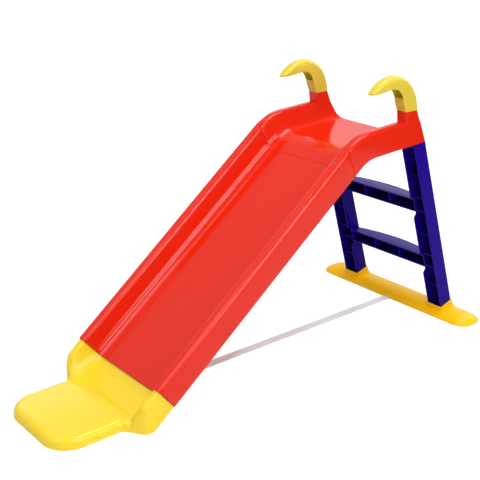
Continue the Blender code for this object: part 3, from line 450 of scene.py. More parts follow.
def foot_line(s):
    """Place and fall of the skirt's bottom line, s along it from the rear."""
    x = REAR_X - min(s, BEND_START) * cos(DECK_FALL)
    z = REAR_Z - min(s, BEND_START) * sin(DECK_FALL)
    fall = DECK_FALL
    if s > BEND_START:
        fall += (min(s, BEND_END) - BEND_START) / BEND_RADIUS
        x -= BEND_RADIUS * (sin(fall) - sin(DECK_FALL))
        z -= BEND_RADIUS * (cos(DECK_FALL) - cos(fall))
    if s > BEND_END:
        x -= (s - BEND_END) * cos(SLOPE)
        z -= (s - BEND_END) * sin(SLOPE)
    return x, z, fall


def on_chute(s, y, h):
    x, z, fall = foot_line(s)
    return Vector((x - h * sin(fall), y, z + h * cos(fall)))


def crest_at(s):
    if s < BEND_START:
        return CREST_DECK
    if s < SEAM_AT:
        return CREST_DECK + (CREST_SEAM - CREST_DECK) * (s - BEND_START) / (SEAM_AT - BEND_START)
    share = (s - SEAM_AT) / (CHUTE_LENGTH - SEAM_AT)
    return CREST_SEAM + (CREST_END - CREST_SEAM) * share


print("chute line ends at", [round(v, 3) for v in foot_line(CHUTE_LENGTH)])

# %% [markdown]
# The lower chute is a main piece with a plain rule: its section at the head blends into its section at
# the foot along a straight slope. That suits Geometry Nodes. The head's section is the object's own
# mesh, and each vertex also carries its place in the foot's section. The tree lays a grid whose rows
# are copies of the section, and moves each point to its place. Length, slope, skew of the cut and the
# number of rows are inputs. A Solidify modifier then gives the wall, and a Bevel rounds its edges, so
# the seam reads as a fine groove.

# %% Lower chute by a node tree
def new_tree(name, inputs):
    """A geometry tree with its sockets; inputs are (name, kind)."""
    tree = bpy.data.node_groups.new(name, "GeometryNodeTree")
    for label, kind in (("Geometry", "Geometry"), *inputs):
        tree.interface.new_socket(label, in_out="INPUT", socket_type="NodeSocket" + kind)
    tree.interface.new_socket("Geometry", in_out="OUTPUT", socket_type="NodeSocketGeometry")
    return tree, add(tree, "NodeGroupInput")


def finish_tree(tree, enter, shape):
    """End a tree with real geometry in one material."""
    real = add(tree, "GeometryNodeRealizeInstances", links={"Geometry": (shape, 0)})
    coated = add(tree, "GeometryNodeSetMaterial",
                 links={"Geometry": (real, 0), "Material": (enter, "Material")})
    add(tree, "NodeGroupOutput", links={0: (coated, 0)})
    return tree


def run_tree(item, tree, values):
    """Put the tree on an object and set its inputs by their identifiers."""
    modifier = item.modifiers.new(tree.name, "NODES")
    modifier.node_group = tree
    for socket in tree.interface.items_tree:
        if socket.in_out == "INPUT" and socket.name in values:
            modifier[socket.identifier] = values[socket.name]


def reckon(tree, operation, *terms):
    """A Math node; each term is a number or (node, output)."""
    node = add(tree, "ShaderNodeMath", {"operation": operation})
    for index, term in enumerate(terms):
        if isinstance(term, tuple):
            wire(tree, node, {index: term})
        else:
            tune(node, {index: term})
    return node, 0


def sweep_tree():
    tree, enter = new_tree("sweep_section", (("Length", "Float"), ("Slope", "Float"), ("Skew", "Float"),
                                             ("Fade", "Float"), ("Rows", "Int"), ("Start", "Vector"),
                                             ("Material", "Material")))
    rows = (enter, "Rows")
    slope = (enter, "Slope")
    count = add(tree, "GeometryNodeAttributeDomainSize", links={"Geometry": (enter, "Geometry")})
    grid = add(tree, "GeometryNodeMeshGrid", links={"Vertices X": (count, "Point Count"), "Vertices Y": rows})
    index = (add(tree, "GeometryNodeInputIndex"), 0)
    column = reckon(tree, "FLOOR", reckon(tree, "DIVIDE", index, rows))
    row = reckon(tree, "MODULO", index, rows)
    share = reckon(tree, "DIVIDE", row, reckon(tree, "SUBTRACT", rows, 1.0))
    here = add(tree, "GeometryNodeInputPosition")
    vector = {"data_type": "FLOAT_VECTOR"}
    stored = add(tree, "GeometryNodeInputNamedAttribute", vector, {"Name": "foot_place"})
    ends = []
    for source in (here, stored):
        ends.append(add(tree, "GeometryNodeSampleIndex", vector,
                        links={"Geometry": (enter, "Geometry"), "Value": (source, 0), "Index": column}))
    blend = add(tree, "ShaderNodeMix", {"data_type": "VECTOR"},
                links={0: share, 4: (ends[0], 0), 5: (ends[1], 0)})
    parts = add(tree, "ShaderNodeSeparateXYZ", links={0: (blend, 1)})
    height = (parts, "Z")
    along = reckon(tree, "MULTIPLY", share, (enter, "Length"))
    left = reckon(tree, "SUBTRACT", 1.0, reckon(tree, "DIVIDE", along, (enter, "Fade")))
    skew = reckon(tree, "MULTIPLY", reckon(tree, "MAXIMUM", 0.0, left), (enter, "Skew"))
    travel = reckon(tree, "ADD", along, reckon(tree, "MULTIPLY", skew, height))
    cosine = reckon(tree, "COSINE", slope)
    sine = reckon(tree, "SINE", slope)
    back = reckon(tree, "ADD", reckon(tree, "MULTIPLY", travel, cosine),
                  reckon(tree, "MULTIPLY", height, sine))
    rise = reckon(tree, "SUBTRACT", reckon(tree, "MULTIPLY", height, cosine),
                  reckon(tree, "MULTIPLY", travel, sine))
    local = add(tree, "ShaderNodeCombineXYZ", links={"X": reckon(tree, "MULTIPLY", back, -1.0),
                                                     "Y": (parts, "Y"), "Z": rise})
    place = add(tree, "ShaderNodeVectorMath", {"operation": "ADD"},
                links={0: (local, 0), 1: (enter, "Start")})
    moved = add(tree, "GeometryNodeSetPosition", links={"Geometry": (grid, "Mesh"), "Position": (place, 0)})
    return finish_tree(tree, enter, moved)


def marked_object(name, points, edges, marks):
    """Loose points and edges; marks are values stored on the points, as (name, kind, field, values)."""
    mesh = bpy.data.meshes.new(name)
    mesh.from_pydata([tuple(point) for point in points], edges, [])
    for label, kind, field, values in marks:
        stored = mesh.attributes.new(label, kind, "POINT")
        for entry, value in zip(stored.data, values):
            setattr(entry, field, value)
    return placed(name, mesh)


def circle(radius, height, sides):
    turns = [2 * pi * k / sides for k in range(sides)]
    return [(radius * cos(turn), radius * sin(turn), height) for turn in turns]


def cylinder(base, axis, length, radius):
    turn_to = Vector((0, 0, 1)).rotation_difference(Vector(axis)).to_matrix().to_4x4()
    place = Matrix.Translation(Vector(base)) @ turn_to
    return loft([[place @ Vector(point) for point in circle(radius, height, 32)] for height in (0.0, length)])


def screw_place(s, y, h):
    """Point on the chute and the direction square away from it."""
    fall = foot_line(s)[2]
    return on_chute(s, y, h), Vector((-sin(fall), 0.0, cos(fall)))


SEAM_EDGE = 0.0011
SEAM_FADE = 0.10
SEAM_RECESS = 0.0012
SEAM_SCREW_S = SEAM_AT + 0.021
LAP_SCREW_S = CHUTE_LENGTH - 0.022
LOWER_START = SEAM_AT + STEP + GAP
LOWER_ROWS = 60
LOWER_RIBS = 6
LOWER_RIB_PITCH = 0.105
RIB_FOOT = 0.001
RIB_TOP = FLOOR_HEIGHT - FLOOR_DISH - WALL + 0.0015
RIB_REACH = 0.150
RIB_THICK = 0.003
HEAD_RADIUS = 0.0042
COUNTERBORE_HIGH = 0.01


def cross_ribs(stations):
    """Stiffening ribs across the underside of the chute's floor, sunk a little into it."""
    corners = ((-RIB_REACH, RIB_FOOT), (RIB_REACH, RIB_FOOT), (RIB_REACH, RIB_TOP), (-RIB_REACH, RIB_TOP))
    shapes = []
    for s in stations:
        faces_at = (s - RIB_THICK / 2, s + RIB_THICK / 2)
        shapes.append(loft([[on_chute(along, y, h) for y, h in corners] for along in faces_at]))
    return joined(shapes)


head_x, head_z, _ = foot_line(LOWER_START)
head, foot = [[(0.0, y, h) for y, h in full_section(0.0, crest)] for crest in (CREST_SEAM, CREST_END)]
lower_chute = marked_object("lower_chute_shell", head, [(k, k + 1) for k in range(len(head) - 1)],
                            [("foot_place", "FLOAT_VECTOR", "vector", foot)])
run_tree(lower_chute, sweep_tree(), {"Length": CHUTE_LENGTH - LOWER_START, "Slope": SLOPE, "Skew": SEAM_SKEW,
                                     "Fade": SEAM_FADE, "Rows": LOWER_ROWS, "Start": (head_x, 0.0, head_z),
                                     "Material": red})
thicken(lower_chute, True)
round_edges(lower_chute, SEAM_EDGE, 3, 50)
bake(lower_chute)
only_material(lower_chute, red)
rib_stations = [LOWER_START + SEAM_FADE + LOWER_RIB_PITCH * k for k in range(LOWER_RIBS)]
carve(lower_chute, cross_ribs(rib_stations), "UNION")
for side in (1, -1):
    seat, up = screw_place(SEAM_SCREW_S, side * RAIL_MIDDLE, crest_at(SEAM_SCREW_S) - SEAM_RECESS)
    carve(lower_chute, cylinder(seat, up, COUNTERBORE_HIGH, HEAD_RADIUS + GAP))
hand_over(lower_chute, "red_plastic", "lower_chute")

# %% [markdown]
# The chute's foot is cut off after moulding. Its cut face lies over a thin gap and faces down the
# slope, away from the light, so a dark line shows where the red ends. That shade is painted into the
# red here: the mask is a plane across the slope.

# %% Painted shade at the chute's foot
FOOT_SHADE_DEPTH = 0.0010
FOOT_SHADE_FADE = 0.0004
DOWN_SLOPE = Vector((-cos(SLOPE), 0.0, -sin(SLOPE)))
foot_shade_at = DOWN_SLOPE.dot(on_chute(CHUTE_LENGTH, 0.0, 0.0)) - FOOT_SHADE_DEPTH
tree = red.node_tree
shader = tree.nodes["Principled BSDF"]
plain_red = shader.inputs["Base Color"].links[0].from_node
here = (add(tree, "ShaderNodeTexCoord"), "Object")
along = add(tree, "ShaderNodeVectorMath", {"operation": "DOT_PRODUCT"}, {1: DOWN_SLOPE}, {0: here})
foot_shade_mask = add(tree, "ShaderNodeMapRange", values={"From Min": foot_shade_at - FOOT_SHADE_FADE, "From Max": foot_shade_at},
              links={"Value": (along, "Value")})
# Painted shade: past the plane the red turns dark brown, for the shade on the cut face and in the gap under
# it
painted_foot_shade = add(tree, "ShaderNodeMix", {"data_type": "RGBA"}, {7: linear("5E0F04")},
              {0: (foot_shade_mask, "Result"), 6: (plain_red, 2)})
wire(tree, shader, {"Base Color": (painted_foot_shade, 2)})
print("the chute's foot is dark past", round(foot_shade_at, 4), "m down the slope")

# %% [markdown]
# The upper chute holds the deck, the bend and the two hollow posts in one moulding. Its wall bends, so
# it is lofted ring by ring, each ring running over the outside and back along the inside. Near the
# seam the rings step down by one wall, which makes the tongue that the lower chute laps over. The edge
# at the seam is rounded too. Welded shapes miss each other's faces by a hair, because the exact solver
# leaves slivers where two faces lie in one plane.

# %% Upper chute
POST_TOP = 0.6885
POST_INNER = 0.1625
POST_FRONT_TOP = 0.4105
POST_FRONT_FOOT = 0.4220
HAIR = 0.0002
POST_OUTER = HALF_WIDTH - HAIR
POST_CORNER = 0.003
POST_BORE_CORNER = 0.001
POST_BORE_BELOW = 0.0198
POST_STEPS = 8
POST_MIDDLE_Y = (POST_INNER + POST_OUTER) / 2
REAR_FADE = 0.09
REAR_LEAN = tan(POST_LEAN - DECK_FALL)
DECK_RIBS = (0.07, 0.14, 0.205)
APRON_INSET = 0.0015
APRON_TOP = 0.055
BEND_ROWS = 24


def shell_ring(s, skew, outer, inner):
    crest = crest_at(s)
    over = [on_chute(s + skew * h, y, h) for y, h in full_section(outer, crest)]
    under = [on_chute(s + skew * h, y, h) for y, h in full_section(inner, crest)]
    return over + under[::-1]


def shell(rings):
    """A thin shell through its rings; the ends are closed by a strip between outside and inside."""
    points, faces = loft(rings)
    faces = faces[:-2]
    count = len(rings[0])
    for first in (0, (len(rings) - 1) * count):
        for k in range(count // 2 - 1):
            a = first + k
            b = first + count - 1 - k
            faces.append((a, a + 1, b - 1, b))
    return points, faces


def quarter(x, y, radius, start, steps):
    """Points of a quarter circle from an angle in degrees on."""
    turns = [radians(angle) for angle in spread(start, start + 90.0, steps)]
    return [(x + radius * cos(turn), y + radius * sin(turn)) for turn in turns]


def rounded_rectangle(x0, x1, y0, y1, radius, steps):
    outline = quarter(x1 - radius, y1 - radius, radius, 0, steps)
    outline += quarter(x0 + radius, y1 - radius, radius, 90, steps)
    outline += quarter(x0 + radius, y0 + radius, radius, 180, steps)
    return outline + quarter(x1 - radius, y0 + radius, radius, 270, steps)


def post_section(z, grow):
    share = (z - REAR_Z) / (POST_TOP - REAR_Z)
    front = POST_FRONT_FOOT + (POST_FRONT_TOP - POST_FRONT_FOOT) * share
    rear = REAR_X - (z - REAR_Z) * tan(POST_LEAN)
    return front - grow, rear + grow / cos(POST_LEAN), POST_INNER - grow, POST_OUTER + grow


def post_solid(side, grow, bottom, top, radius):
    rings = []
    for z in spread(bottom, top, POST_STEPS):
        tilt = tan(DECK_FALL) if z == bottom else 0.0
        x0, x1, y0, y1 = post_section(z, grow)
        outline = rounded_rectangle(x0, x1, y0, y1, radius, 6)
        rings.append([(x, side * y, z + (x - REAR_X) * tilt) for x, y in outline])
    return loft(rings)


def rear_apron():
    """Plate that closes the deck's rear edge between the posts."""
    line = [(y, h) for y, h in full_section(APRON_INSET, CREST_DECK)
            if abs(y) < POST_INNER + 0.001 and h < APRON_TOP]
    outline = [(line[-1][0], 2 * HAIR), (line[0][0], 2 * HAIR)] + line
    depths = (HAIR, HAIR + WALL)
    return loft([[on_chute(depth + REAR_LEAN * h, y, h) for y, h in outline] for depth in depths])


inner = 2 * WALL + LAP_GAP
outer = WALL + LAP_GAP
rings = [shell_ring(REAR_FADE * k / 6, REAR_LEAN * (1 - k / 6), 0.0, WALL) for k in range(7)]
rings += [shell_ring(s, 0.0, 0.0, WALL) for s in spread(REAR_FADE, BEND_START, 5)[1:-1]]
bend = zip(spread(BEND_START, BEND_END - 0.002, BEND_ROWS), spread(0.0, SEAM_SKEW * 0.9, BEND_ROWS))
rings += [shell_ring(s, skew, 0.0, WALL) for s, skew in bend]
stations = [(SEAM_AT - COLLAR, 0.0, WALL), (SEAM_AT - COLLAR + STEP, 0.0, inner)]
for angle in spread(0, 90, 4):
    turn = radians(angle)
    stations.append((SEAM_AT - SEAM_EDGE * (1 - sin(turn)), SEAM_EDGE * (1 - cos(turn)), inner))
stations += [(SEAM_AT + STEP, outer, inner), (SEAM_AT + TONGUE, outer, inner)]
rings += [shell_ring(s, SEAM_SKEW, over, under) for s, over, under in stations]
upper_chute = solid_from("upper_chute_shell", shell(rings), red)
carve(upper_chute, cross_ribs(DECK_RIBS), "UNION")
carve(upper_chute, rear_apron(), "UNION")
for side in (1, -1):
    carve(upper_chute, post_solid(side, 0.0, REAR_Z + HAIR, POST_TOP, POST_CORNER), "UNION")
for side in (1, -1):
    carve(upper_chute, post_solid(side, -WALL, REAR_Z - POST_BORE_BELOW, POST_TOP + 0.01, POST_BORE_CORNER))
hand_over(upper_chute, "red_plastic", "upper_chute")

# %% [markdown]
# The run-out is a height field: each plan point has one height. Past the rails the lobes fall in a
# quarter of an ellipse, the floor levels out with a fillet, and the rim is rounded. Rows are set close
# where the lobe's nose is steep. A skirt of three more rows goes down to the ground.

# %% Run-out
NEST = WALL + LAP_GAP
NEST_HALF = HALF_WIDTH - NEST
RUNOUT_FRONT = -0.7083
RUNOUT_HALF = 0.1425
RUNOUT_CORNER = 0.075
RUNOUT_HEIGHT = 0.028
RUNOUT_RIM = 0.0200
RUNOUT_TONGUE_X = -0.372
RUNOUT_FILLET = 0.047
LIFT_DELAY = 0.004
LIFT_LENGTH = 0.030
LOBE_START = -0.478
LOBE_END = -0.5155
NECK_START = -0.482
NECK_END = -0.532
LOBE_MIDDLE = 0.184
LOBE_HALF = 0.034
LOBE_ROUND = 0.0125
LOBE_FALL = 0.55
SWELL_START = -0.450
SWELL_LENGTH = 0.030
LIP_START = LOBE_END + 0.004
LIP_FADE = 0.012
LIP_OUT = 0.0012
LIP_HIGH = 0.0032
LIP_STEP = 0.0006
SKIRT_DROP = 0.002
SKIRT_ROW = 0.004
STRAP_SCREW_FRONT = -0.475
NESTED_TOP = [(y, h) for y, h in half_section(NEST, CREST_END) if y <= HALF_WIDTH - RAIL_ROUND + 1e-6]
NESTED_CREST = CREST_END - NEST
NESTED_FLOOR = FLOOR_HEIGHT - NEST
CORNER_X = RUNOUT_FRONT + RUNOUT_CORNER
CORNER_Y = RUNOUT_HALF - RUNOUT_CORNER
BOSS_FOOT = 0.0032
BOSS_RADIUS = 0.006
RUNOUT_BOSS = 0.0225
NOSE_PASSES = 7
NOSE_AHEAD = 0.014
NOSE_BEHIND = 0.004
NOSE_SIDE = 0.11
RIM_KEPT = 0.0015
END_X, END_Z, _ = foot_line(CHUTE_LENGTH)


def smooth(t):
    t = max(0.0, min(1.0, t))
    return t * t * (3 - 2 * t)


def past_neck(x):
    """0 at the rails and 1 on the paddle."""
    return smooth((NECK_START - x) / (NECK_START - NECK_END))


def slope_line(x):
    return END_Z + (x - END_X) * tan(SLOPE)


def runout_floor(x):
    sloped = slope_line(x) + NESTED_FLOOR / cos(SLOPE)
    meet = x - (sloped - RUNOUT_HEIGHT) / tan(SLOPE)
    radius = RUNOUT_FILLET / tan(SLOPE / 2)
    if x >= meet + RUNOUT_FILLET * cos(SLOPE):
        return sloped
    if x <= meet - RUNOUT_FILLET:
        return RUNOUT_HEIGHT
    return RUNOUT_HEIGHT + radius - sqrt(radius ** 2 - (x - meet + RUNOUT_FILLET) ** 2)


def nested_crest(x):
    return slope_line(x) + NESTED_CREST / cos(SLOPE)


def runout_crest(x, y):
    """Height of the rail's top, down to the floor past the lobe's nose, which is round in plan."""
    if x >= LOBE_START:
        return nested_crest(x)
    off = min(1.0, abs(abs(y) - LOBE_MIDDLE) / LOBE_HALF)
    reach = (LOBE_START - LOBE_END) * sqrt(1 - 0.75 * off ** 2)
    share = (LOBE_START - x) / reach
    if share >= 1.0:
        return runout_floor(x)
    top = nested_crest(LOBE_START) - LOBE_FALL * (LOBE_START - x)
    return runout_floor(x) + (top - runout_floor(x)) * sqrt(1 - share ** 2)


def runout_half_width(x):
    return NEST_HALF + (RUNOUT_HALF - NEST_HALF) * past_neck(x)


def front_outline(y):
    beyond = max(0.0, abs(y) - CORNER_Y)
    return CORNER_X - sqrt(max(0.0, RUNOUT_CORNER ** 2 - beyond ** 2))


def edge_distance(x, y):
    if x < CORNER_X and abs(y) > CORNER_Y:
        return RUNOUT_CORNER - hypot(CORNER_X - x, abs(y) - CORNER_Y)
    if x < CORNER_X:
        return x - RUNOUT_FRONT
    lean = (runout_half_width(x + 0.001) - runout_half_width(x - 0.001)) / 0.002
    return (runout_half_width(x) - abs(y)) / sqrt(1 + lean ** 2)


def rail_share(y):
    """How far up the rail a point is: 0 on the floor, 1 on the crest."""
    for (y0, h0), (y1, h1) in zip(NESTED_TOP, NESTED_TOP[1:]):
        if y0 <= abs(y) <= y1:
            h = h0 + (h1 - h0) * (abs(y) - y0) / (y1 - y0)
            return (h - NESTED_FLOOR) / (NESTED_CREST - NESTED_FLOOR)
    return 1.0


def runout_base(x, share):
    sloped = slope_line(x) + NESTED_FLOOR / cos(SLOPE)
    height = NESTED_FLOOR + share * (NESTED_CREST - NESTED_FLOOR)
    past = END_X - height * sin(SLOPE) - LIFT_DELAY - x
    return sloped + (runout_floor(x) - sloped) * smooth(past / LIFT_LENGTH)


def runout_top(x, y):
    share = rail_share(y)
    base = runout_base(x, share)
    height = base + (runout_crest(x, y) - base) * share
    past = past_neck(x)
    swell = smooth((SWELL_START - x) / SWELL_LENGTH)
    rail_round = RAIL_ROUND - NEST + (LOBE_ROUND - RAIL_ROUND + NEST) * swell
    radius = rail_round * (1 - past) + RUNOUT_RIM * past
    inside = min(radius, max(0.0, edge_distance(x, y)))
    drop = radius - sqrt(radius ** 2 - (radius - inside) ** 2)
    return height - drop * ((1 - past) / cos(SLOPE) + past)


def runout_columns(past):
    """y of the columns across half the run-out; past is 0 at the rails and 1 on the paddle."""
    arc = sines(8)
    rail = [y for y, _ in NESTED_TOP]
    rail += [NEST_HALF - (RAIL_ROUND - NEST) * (1 - a) for a in arc[1:]]
    rim = [RUNOUT_HALF - RUNOUT_RIM * (1 - a) for a in arc]
    rest = len(rail) - len(rim)
    paddle = spread(0.0, rim[0], rest)[:-1] + rim
    return [r * (1 - past) + p * past for r, p in zip(rail, paddle)]


def runout_rows():
    stations = spread(RUNOUT_TONGUE_X, LOBE_START, 22)[:-1]
    stations += [LOBE_START + (LOBE_END - LOBE_START) * share for share in sines(26)]
    stations += spread(LOBE_END, CORNER_X, 24)[1:]
    rows = []
    for x in stations:
        ys = runout_columns(past_neck(x))
        rows.append([(x, y * runout_half_width(x) / ys[-1]) for y in ys])
    y_last = CORNER_Y + RUNOUT_CORNER * cos(radians(45))
    for share in sines(24)[1:]:
        turn = radians(45 * share)
        x_edge = RUNOUT_FRONT + RUNOUT_CORNER * (1 - sin(turn))
        y_edge = CORNER_Y + RUNOUT_CORNER * cos(turn)
        weight = (degrees(turn) / 45) ** 2
        row = []
        for y in runout_columns(1.0):
            y_here = y * y_edge / RUNOUT_HALF
            bulge = front_outline(y_here * y_last / y_edge) - front_outline(y_last)
            row.append((x_edge + bulge * weight, y_here))
        rows.append(row)
    return [[(x, -y) for x, y in reversed(row[1:])] + row for row in rows]


def runout_surface():
    """Upper surface and skirt of the run-out as points and faces."""
    rows = runout_rows()
    width = len(rows[0])
    points = [Vector((x, y, runout_top(x, y))) for row in rows for x, y in row]
    faces = []
    for i in range(len(rows) - 1):
        for k in range(width - 1):
            a = i * width + k
            faces.append((a, a + width, a + 1 + width, a + 1))
    rim = [i * width for i in range(len(rows))]
    rim += [rim[-1] + k for k in range(1, width)]
    rim += [i * width + width - 1 for i in reversed(range(len(rows) - 1))]
    above = rim
    for level in range(3):
        below = []
        for index, top in enumerate(rim):
            x, y, z = points[top]
            before = points[rim[max(0, index - 1)]]
            after = points[rim[min(len(rim) - 1, index + 1)]]
            out = Vector((before.y - after.y, after.x - before.x)).normalized()
            foot = max(0.0, slope_line(x) - SKIRT_DROP)
            reach = LIP_OUT * smooth((LIP_START - x) / LIP_FADE) * min(level, 1)
            on_floor = (LIP_HIGH + LIP_STEP, LIP_HIGH, 0.0)[level]
            height = on_floor if foot == 0.0 else foot + SKIRT_ROW * (2 - level)
            below.append(len(points))
            height = min(height, z - 0.001 * (level + 1))
            points.append(Vector((x + out.x * reach, y + out.y * reach, height)))
        for a in range(len(rim) - 1):
            faces.append((above[a], above[a + 1], below[a + 1], below[a]))
        above = below
    return points, faces


def ease_nose(item):
    """Soften the foot of each nose into the paddle, as a mould's cutter leaves it; the rim stays."""
    work = bmesh.new()
    work.from_mesh(item.data)
    near = []
    for vertex in work.verts:
        x, y, z = vertex.co
        inside = LOBE_END - NOSE_AHEAD < x < LOBE_START + NOSE_BEHIND and abs(y) > NOSE_SIDE
        if inside and z > runout_floor(x) - 0.001 and edge_distance(x, y) > RIM_KEPT:
            near.append(vertex)
    for _ in range(NOSE_PASSES):
        bmesh.ops.smooth_vert(work, verts=near, factor=0.5, use_axis_x=True, use_axis_y=True, use_axis_z=True)
    work.to_mesh(item.data)
    work.free()


def weld_boss(item, x, length):
    """A boss under the piece's roof, which the strap's screw goes into."""
    carve(item, cylinder((x, 0, BOSS_FOOT), (0, 0, 1), length, BOSS_RADIUS), "UNION")


run_out = solid_from("run_out_shell", runout_surface(), yellow, 40)
if sum(face.normal.z * face.area for face in run_out.data.polygons) < 0:
    run_out.data.flip_normals()
ease_nose(run_out)
thicken(run_out, False)
bake(run_out, 40)
weld_boss(run_out, STRAP_SCREW_FRONT, RUNOUT_BOSS)
hand_over(run_out, "yellow_plastic", "landing")

# %% [markdown]
# Each grip is a hollow hook. Its side view is two curves, one for the back and one for the concave
# side, and rings are laid between them. The mouth is cut along the concave side, so the hook is an open
# channel, as mouldings that must leave a steel core are. The tip closes like a fingertip.

# %% Grips
GRIP_BACK = ((0.4595, 0.6890), (0.4548, 0.7150), (0.4452, 0.7410), (0.4304, 0.7642), (0.4075, 0.7838),
             (0.3770, 0.7938), (0.3480, 0.7936), (0.3205, 0.7862), (0.2990, 0.7730), (0.2845, 0.7605))
GRIP_FRONT = ((0.4105, 0.6890), (0.4020, 0.7080), (0.3970, 0.7240), (0.3900, 0.7390), (0.3800, 0.7510),
              (0.3670, 0.7575), (0.3500, 0.7590), (0.3260, 0.7560), (0.3020, 0.7522), (0.2845, 0.7508))
GRIP_HALVES = (0.0190, 0.0190, 0.0190, 0.0190, 0.0190, 0.0190, 0.0188, 0.0180, 0.0158, 0.0118)
GRIP_TIP = Vector((0.2775, 0.7530))
GRIP_ROUND_POST = 0.005
GRIP_ROUND_HOOK = 0.0165
GRIP_Y = 0.1810
GRIP_WALL = 0.003
GRIP_TENON = 0.032
MOUTH_FIRST = 2.2
MOUTH_LAST = 7.6
MOUTH_REACH = 0.012
GRIP_ROWS = 72
TIP_ROWS = 10
MOUTH_ROWS = 40


def spline(points, t):
    """Point at t on a smooth curve through the points, t counting them from 0."""
    k = min(int(t), len(points) - 2)
    share = t - k
    p = [Vector(points[min(max(k + step, 0), len(points) - 1)]) for step in (-1, 0, 1, 2)]
    if k == 0:
        p[0] = 2 * p[1] - p[2]
    if k == len(points) - 2:
        p[3] = 2 * p[2] - p[1]
    square = share * share
    return 0.5 * (2 * p[1] + (p[2] - p[0]) * share + (2 * p[0] - 5 * p[1] + 4 * p[2] - p[3]) * square
                  + (3 * p[1] - p[0] - 3 * p[2] + p[3]) * square * share)


def grip_ring(t, inset, side, reach=0.0, close=0.0):
    """Ring square across the grip; close runs from 0 to 1 as the tip's ring shrinks to its point."""
    back = spline(GRIP_BACK, t)
    front = spline(GRIP_FRONT, t)
    across = (back - front).normalized()
    depth = (back - front).length
    half = spline([(w, 0.0) for w in GRIP_HALVES], t)[0] - inset
    start = -reach if reach else inset
    end = depth - inset
    big = GRIP_ROUND_POST + (GRIP_ROUND_HOOK - GRIP_ROUND_POST) * smooth(t / 6)
    big = min(big, 0.9 * (half + inset), 0.45 * depth) - inset * 0.6
    small = 0.001 if reach else 0.003
    outline = quarter(end - big, half - big, big, 0, 8)
    outline += quarter(start + small, half - small, small, 90, 8)
    outline += quarter(start + small, small - half, small, 180, 8)
    outline += quarter(end - big, big - half, big, 270, 8)
    shrink = cos(close * pi / 2) ** 0.7 if close < 1 else 0.0
    middle = front + across * (depth / 2)
    shift = (GRIP_TIP - middle) * sin(close * pi / 2)
    ring = []
    for along, y in outline:
        spot = middle + across * ((along - depth / 2) * shrink) + shift
        ring.append(Vector((spot.x, side * (GRIP_Y + y * shrink), spot.y)))
    return ring


def build_grip(name, side):
    rings = [grip_ring(t, 0.0, side) for t in spread(0, 9, GRIP_ROWS)]
    rings += [grip_ring(9, 0.0, side, 0.0, close) for close in spread(0, 1, TIP_ROWS)[1:-1]]
    item = solid_from(name, loft(rings), straw)
    seat = POST_TOP + GAP

    def tenon(z, inset):
        x0, x1, y0, y1 = post_section(z, -WALL - 0.0005 - inset)
        return [(x, side * y, z) for x, y in rounded_rectangle(x0, x1, y0, y1, 0.0015, 4)]

    carve(item, loft([tenon(z, 0.0) for z in (seat - GRIP_TENON, seat - 0.01, seat + 0.006)]), "UNION")
    carve(item, loft([tenon(z, GRIP_WALL) for z in (seat - GRIP_TENON - 0.01, seat + 0.012)]))
    hollow = [grip_ring(t, GRIP_WALL, side) for t in (0.2, 0.6, 1, 1.4, 1.8, MOUTH_FIRST)]
    mouth = spread(MOUTH_FIRST + 0.1, MOUTH_LAST, MOUTH_ROWS)
    hollow += [grip_ring(t, GRIP_WALL, side, MOUTH_REACH) for t in mouth]
    carve(item, loft(hollow))
    return item


for side, word in ((1, "left"), (-1, "right")):
    hand_over(build_grip("grip_" + word + "_shell", side), "yellow_plastic", "handle_" + word)

# %% [markdown]
# The base bar is a hollow dome with two sockets. Each socket flares into the dome in a fillet, which is
# the soft line seen round the ladder's feet. The bar's sides lean in a little before they round over,
# so a soft ridge runs all round its top.

# %% Base bar
LADDER_X = 0.625
COLLAR_Z = 0.033
COLLAR_LOW = 0.009
COLLAR_LOW_TILT = 0.22
LEG_LEAN = radians(17.35)
LEG_DEPTH = 0.0477
LEG_INNER_FOOT = 0.1570
LEG_INNER_TOP = 0.1500
LEG_OUTER_FOOT = 0.2110
LEG_BOTTOM_Z = 0.0125
BAR_X = 0.6575
BAR_HALF_LENGTH = 0.3145
BAR_HALF_WIDTH = 0.052
BAR_CORNER = 0.042
BAR_HEIGHT = 0.024
BAR_RIM = 0.004
SIDE_LEAN = 0.26
SOCKET_WALL = 0.004
SOCKET_FLARE = 0.0055
SOCKET_CORNER = 0.004
SOCKET_CUT_TOP = 0.075
DOME_STEPS = 16
COLLAR_STEPS = 12
# The collar's rounded top: how far up each ring is, and how far it draws in
COLLAR_EDGE = ((0.96, 0.00015), (0.985, 0.0005), (1.0, 0.0011))
BAR_BOSS = 0.0190
STRAP_SCREW_REAR = 0.655
STRAP_HALF = 0.014
STRAP_THICK = 0.0025
SLOT_REACH = 0.08
SLOT_SIDE_GAP = 0.001
SLOT_TOP_GAP = 0.0007
SLOT_BELOW = 0.01


def leg_point(z, depth, y, side=1):
    """Point of the ladder at height z, at a depth behind its leaning front plane."""
    up = (z - COLLAR_Z - depth * sin(LEG_LEAN)) / cos(LEG_LEAN)
    return Vector((LADDER_X - up * sin(LEG_LEAN) + depth * cos(LEG_LEAN), side * y, z))


def leg_sides(z):
    share = (z - COLLAR_Z) / (REAR_Z - COLLAR_Z)
    return (LEG_INNER_FOOT + (LEG_INNER_TOP - LEG_INNER_FOOT) * share,
            LEG_OUTER_FOOT + (HALF_WIDTH - LEG_OUTER_FOOT) * share)


def leg_ring(height, grow, side, radius=0.0005):
    """Ring round a leg with rounded corners; height is a number, or a function of depth."""
    level = height if callable(height) else lambda depth: height
    inner_y, outer_y = leg_sides(level(0.0))
    outline = rounded_rectangle(-grow, LEG_DEPTH + grow, inner_y - grow, outer_y + grow, radius, 6)
    return [leg_point(level(depth), depth, y, side) for depth, y in outline]


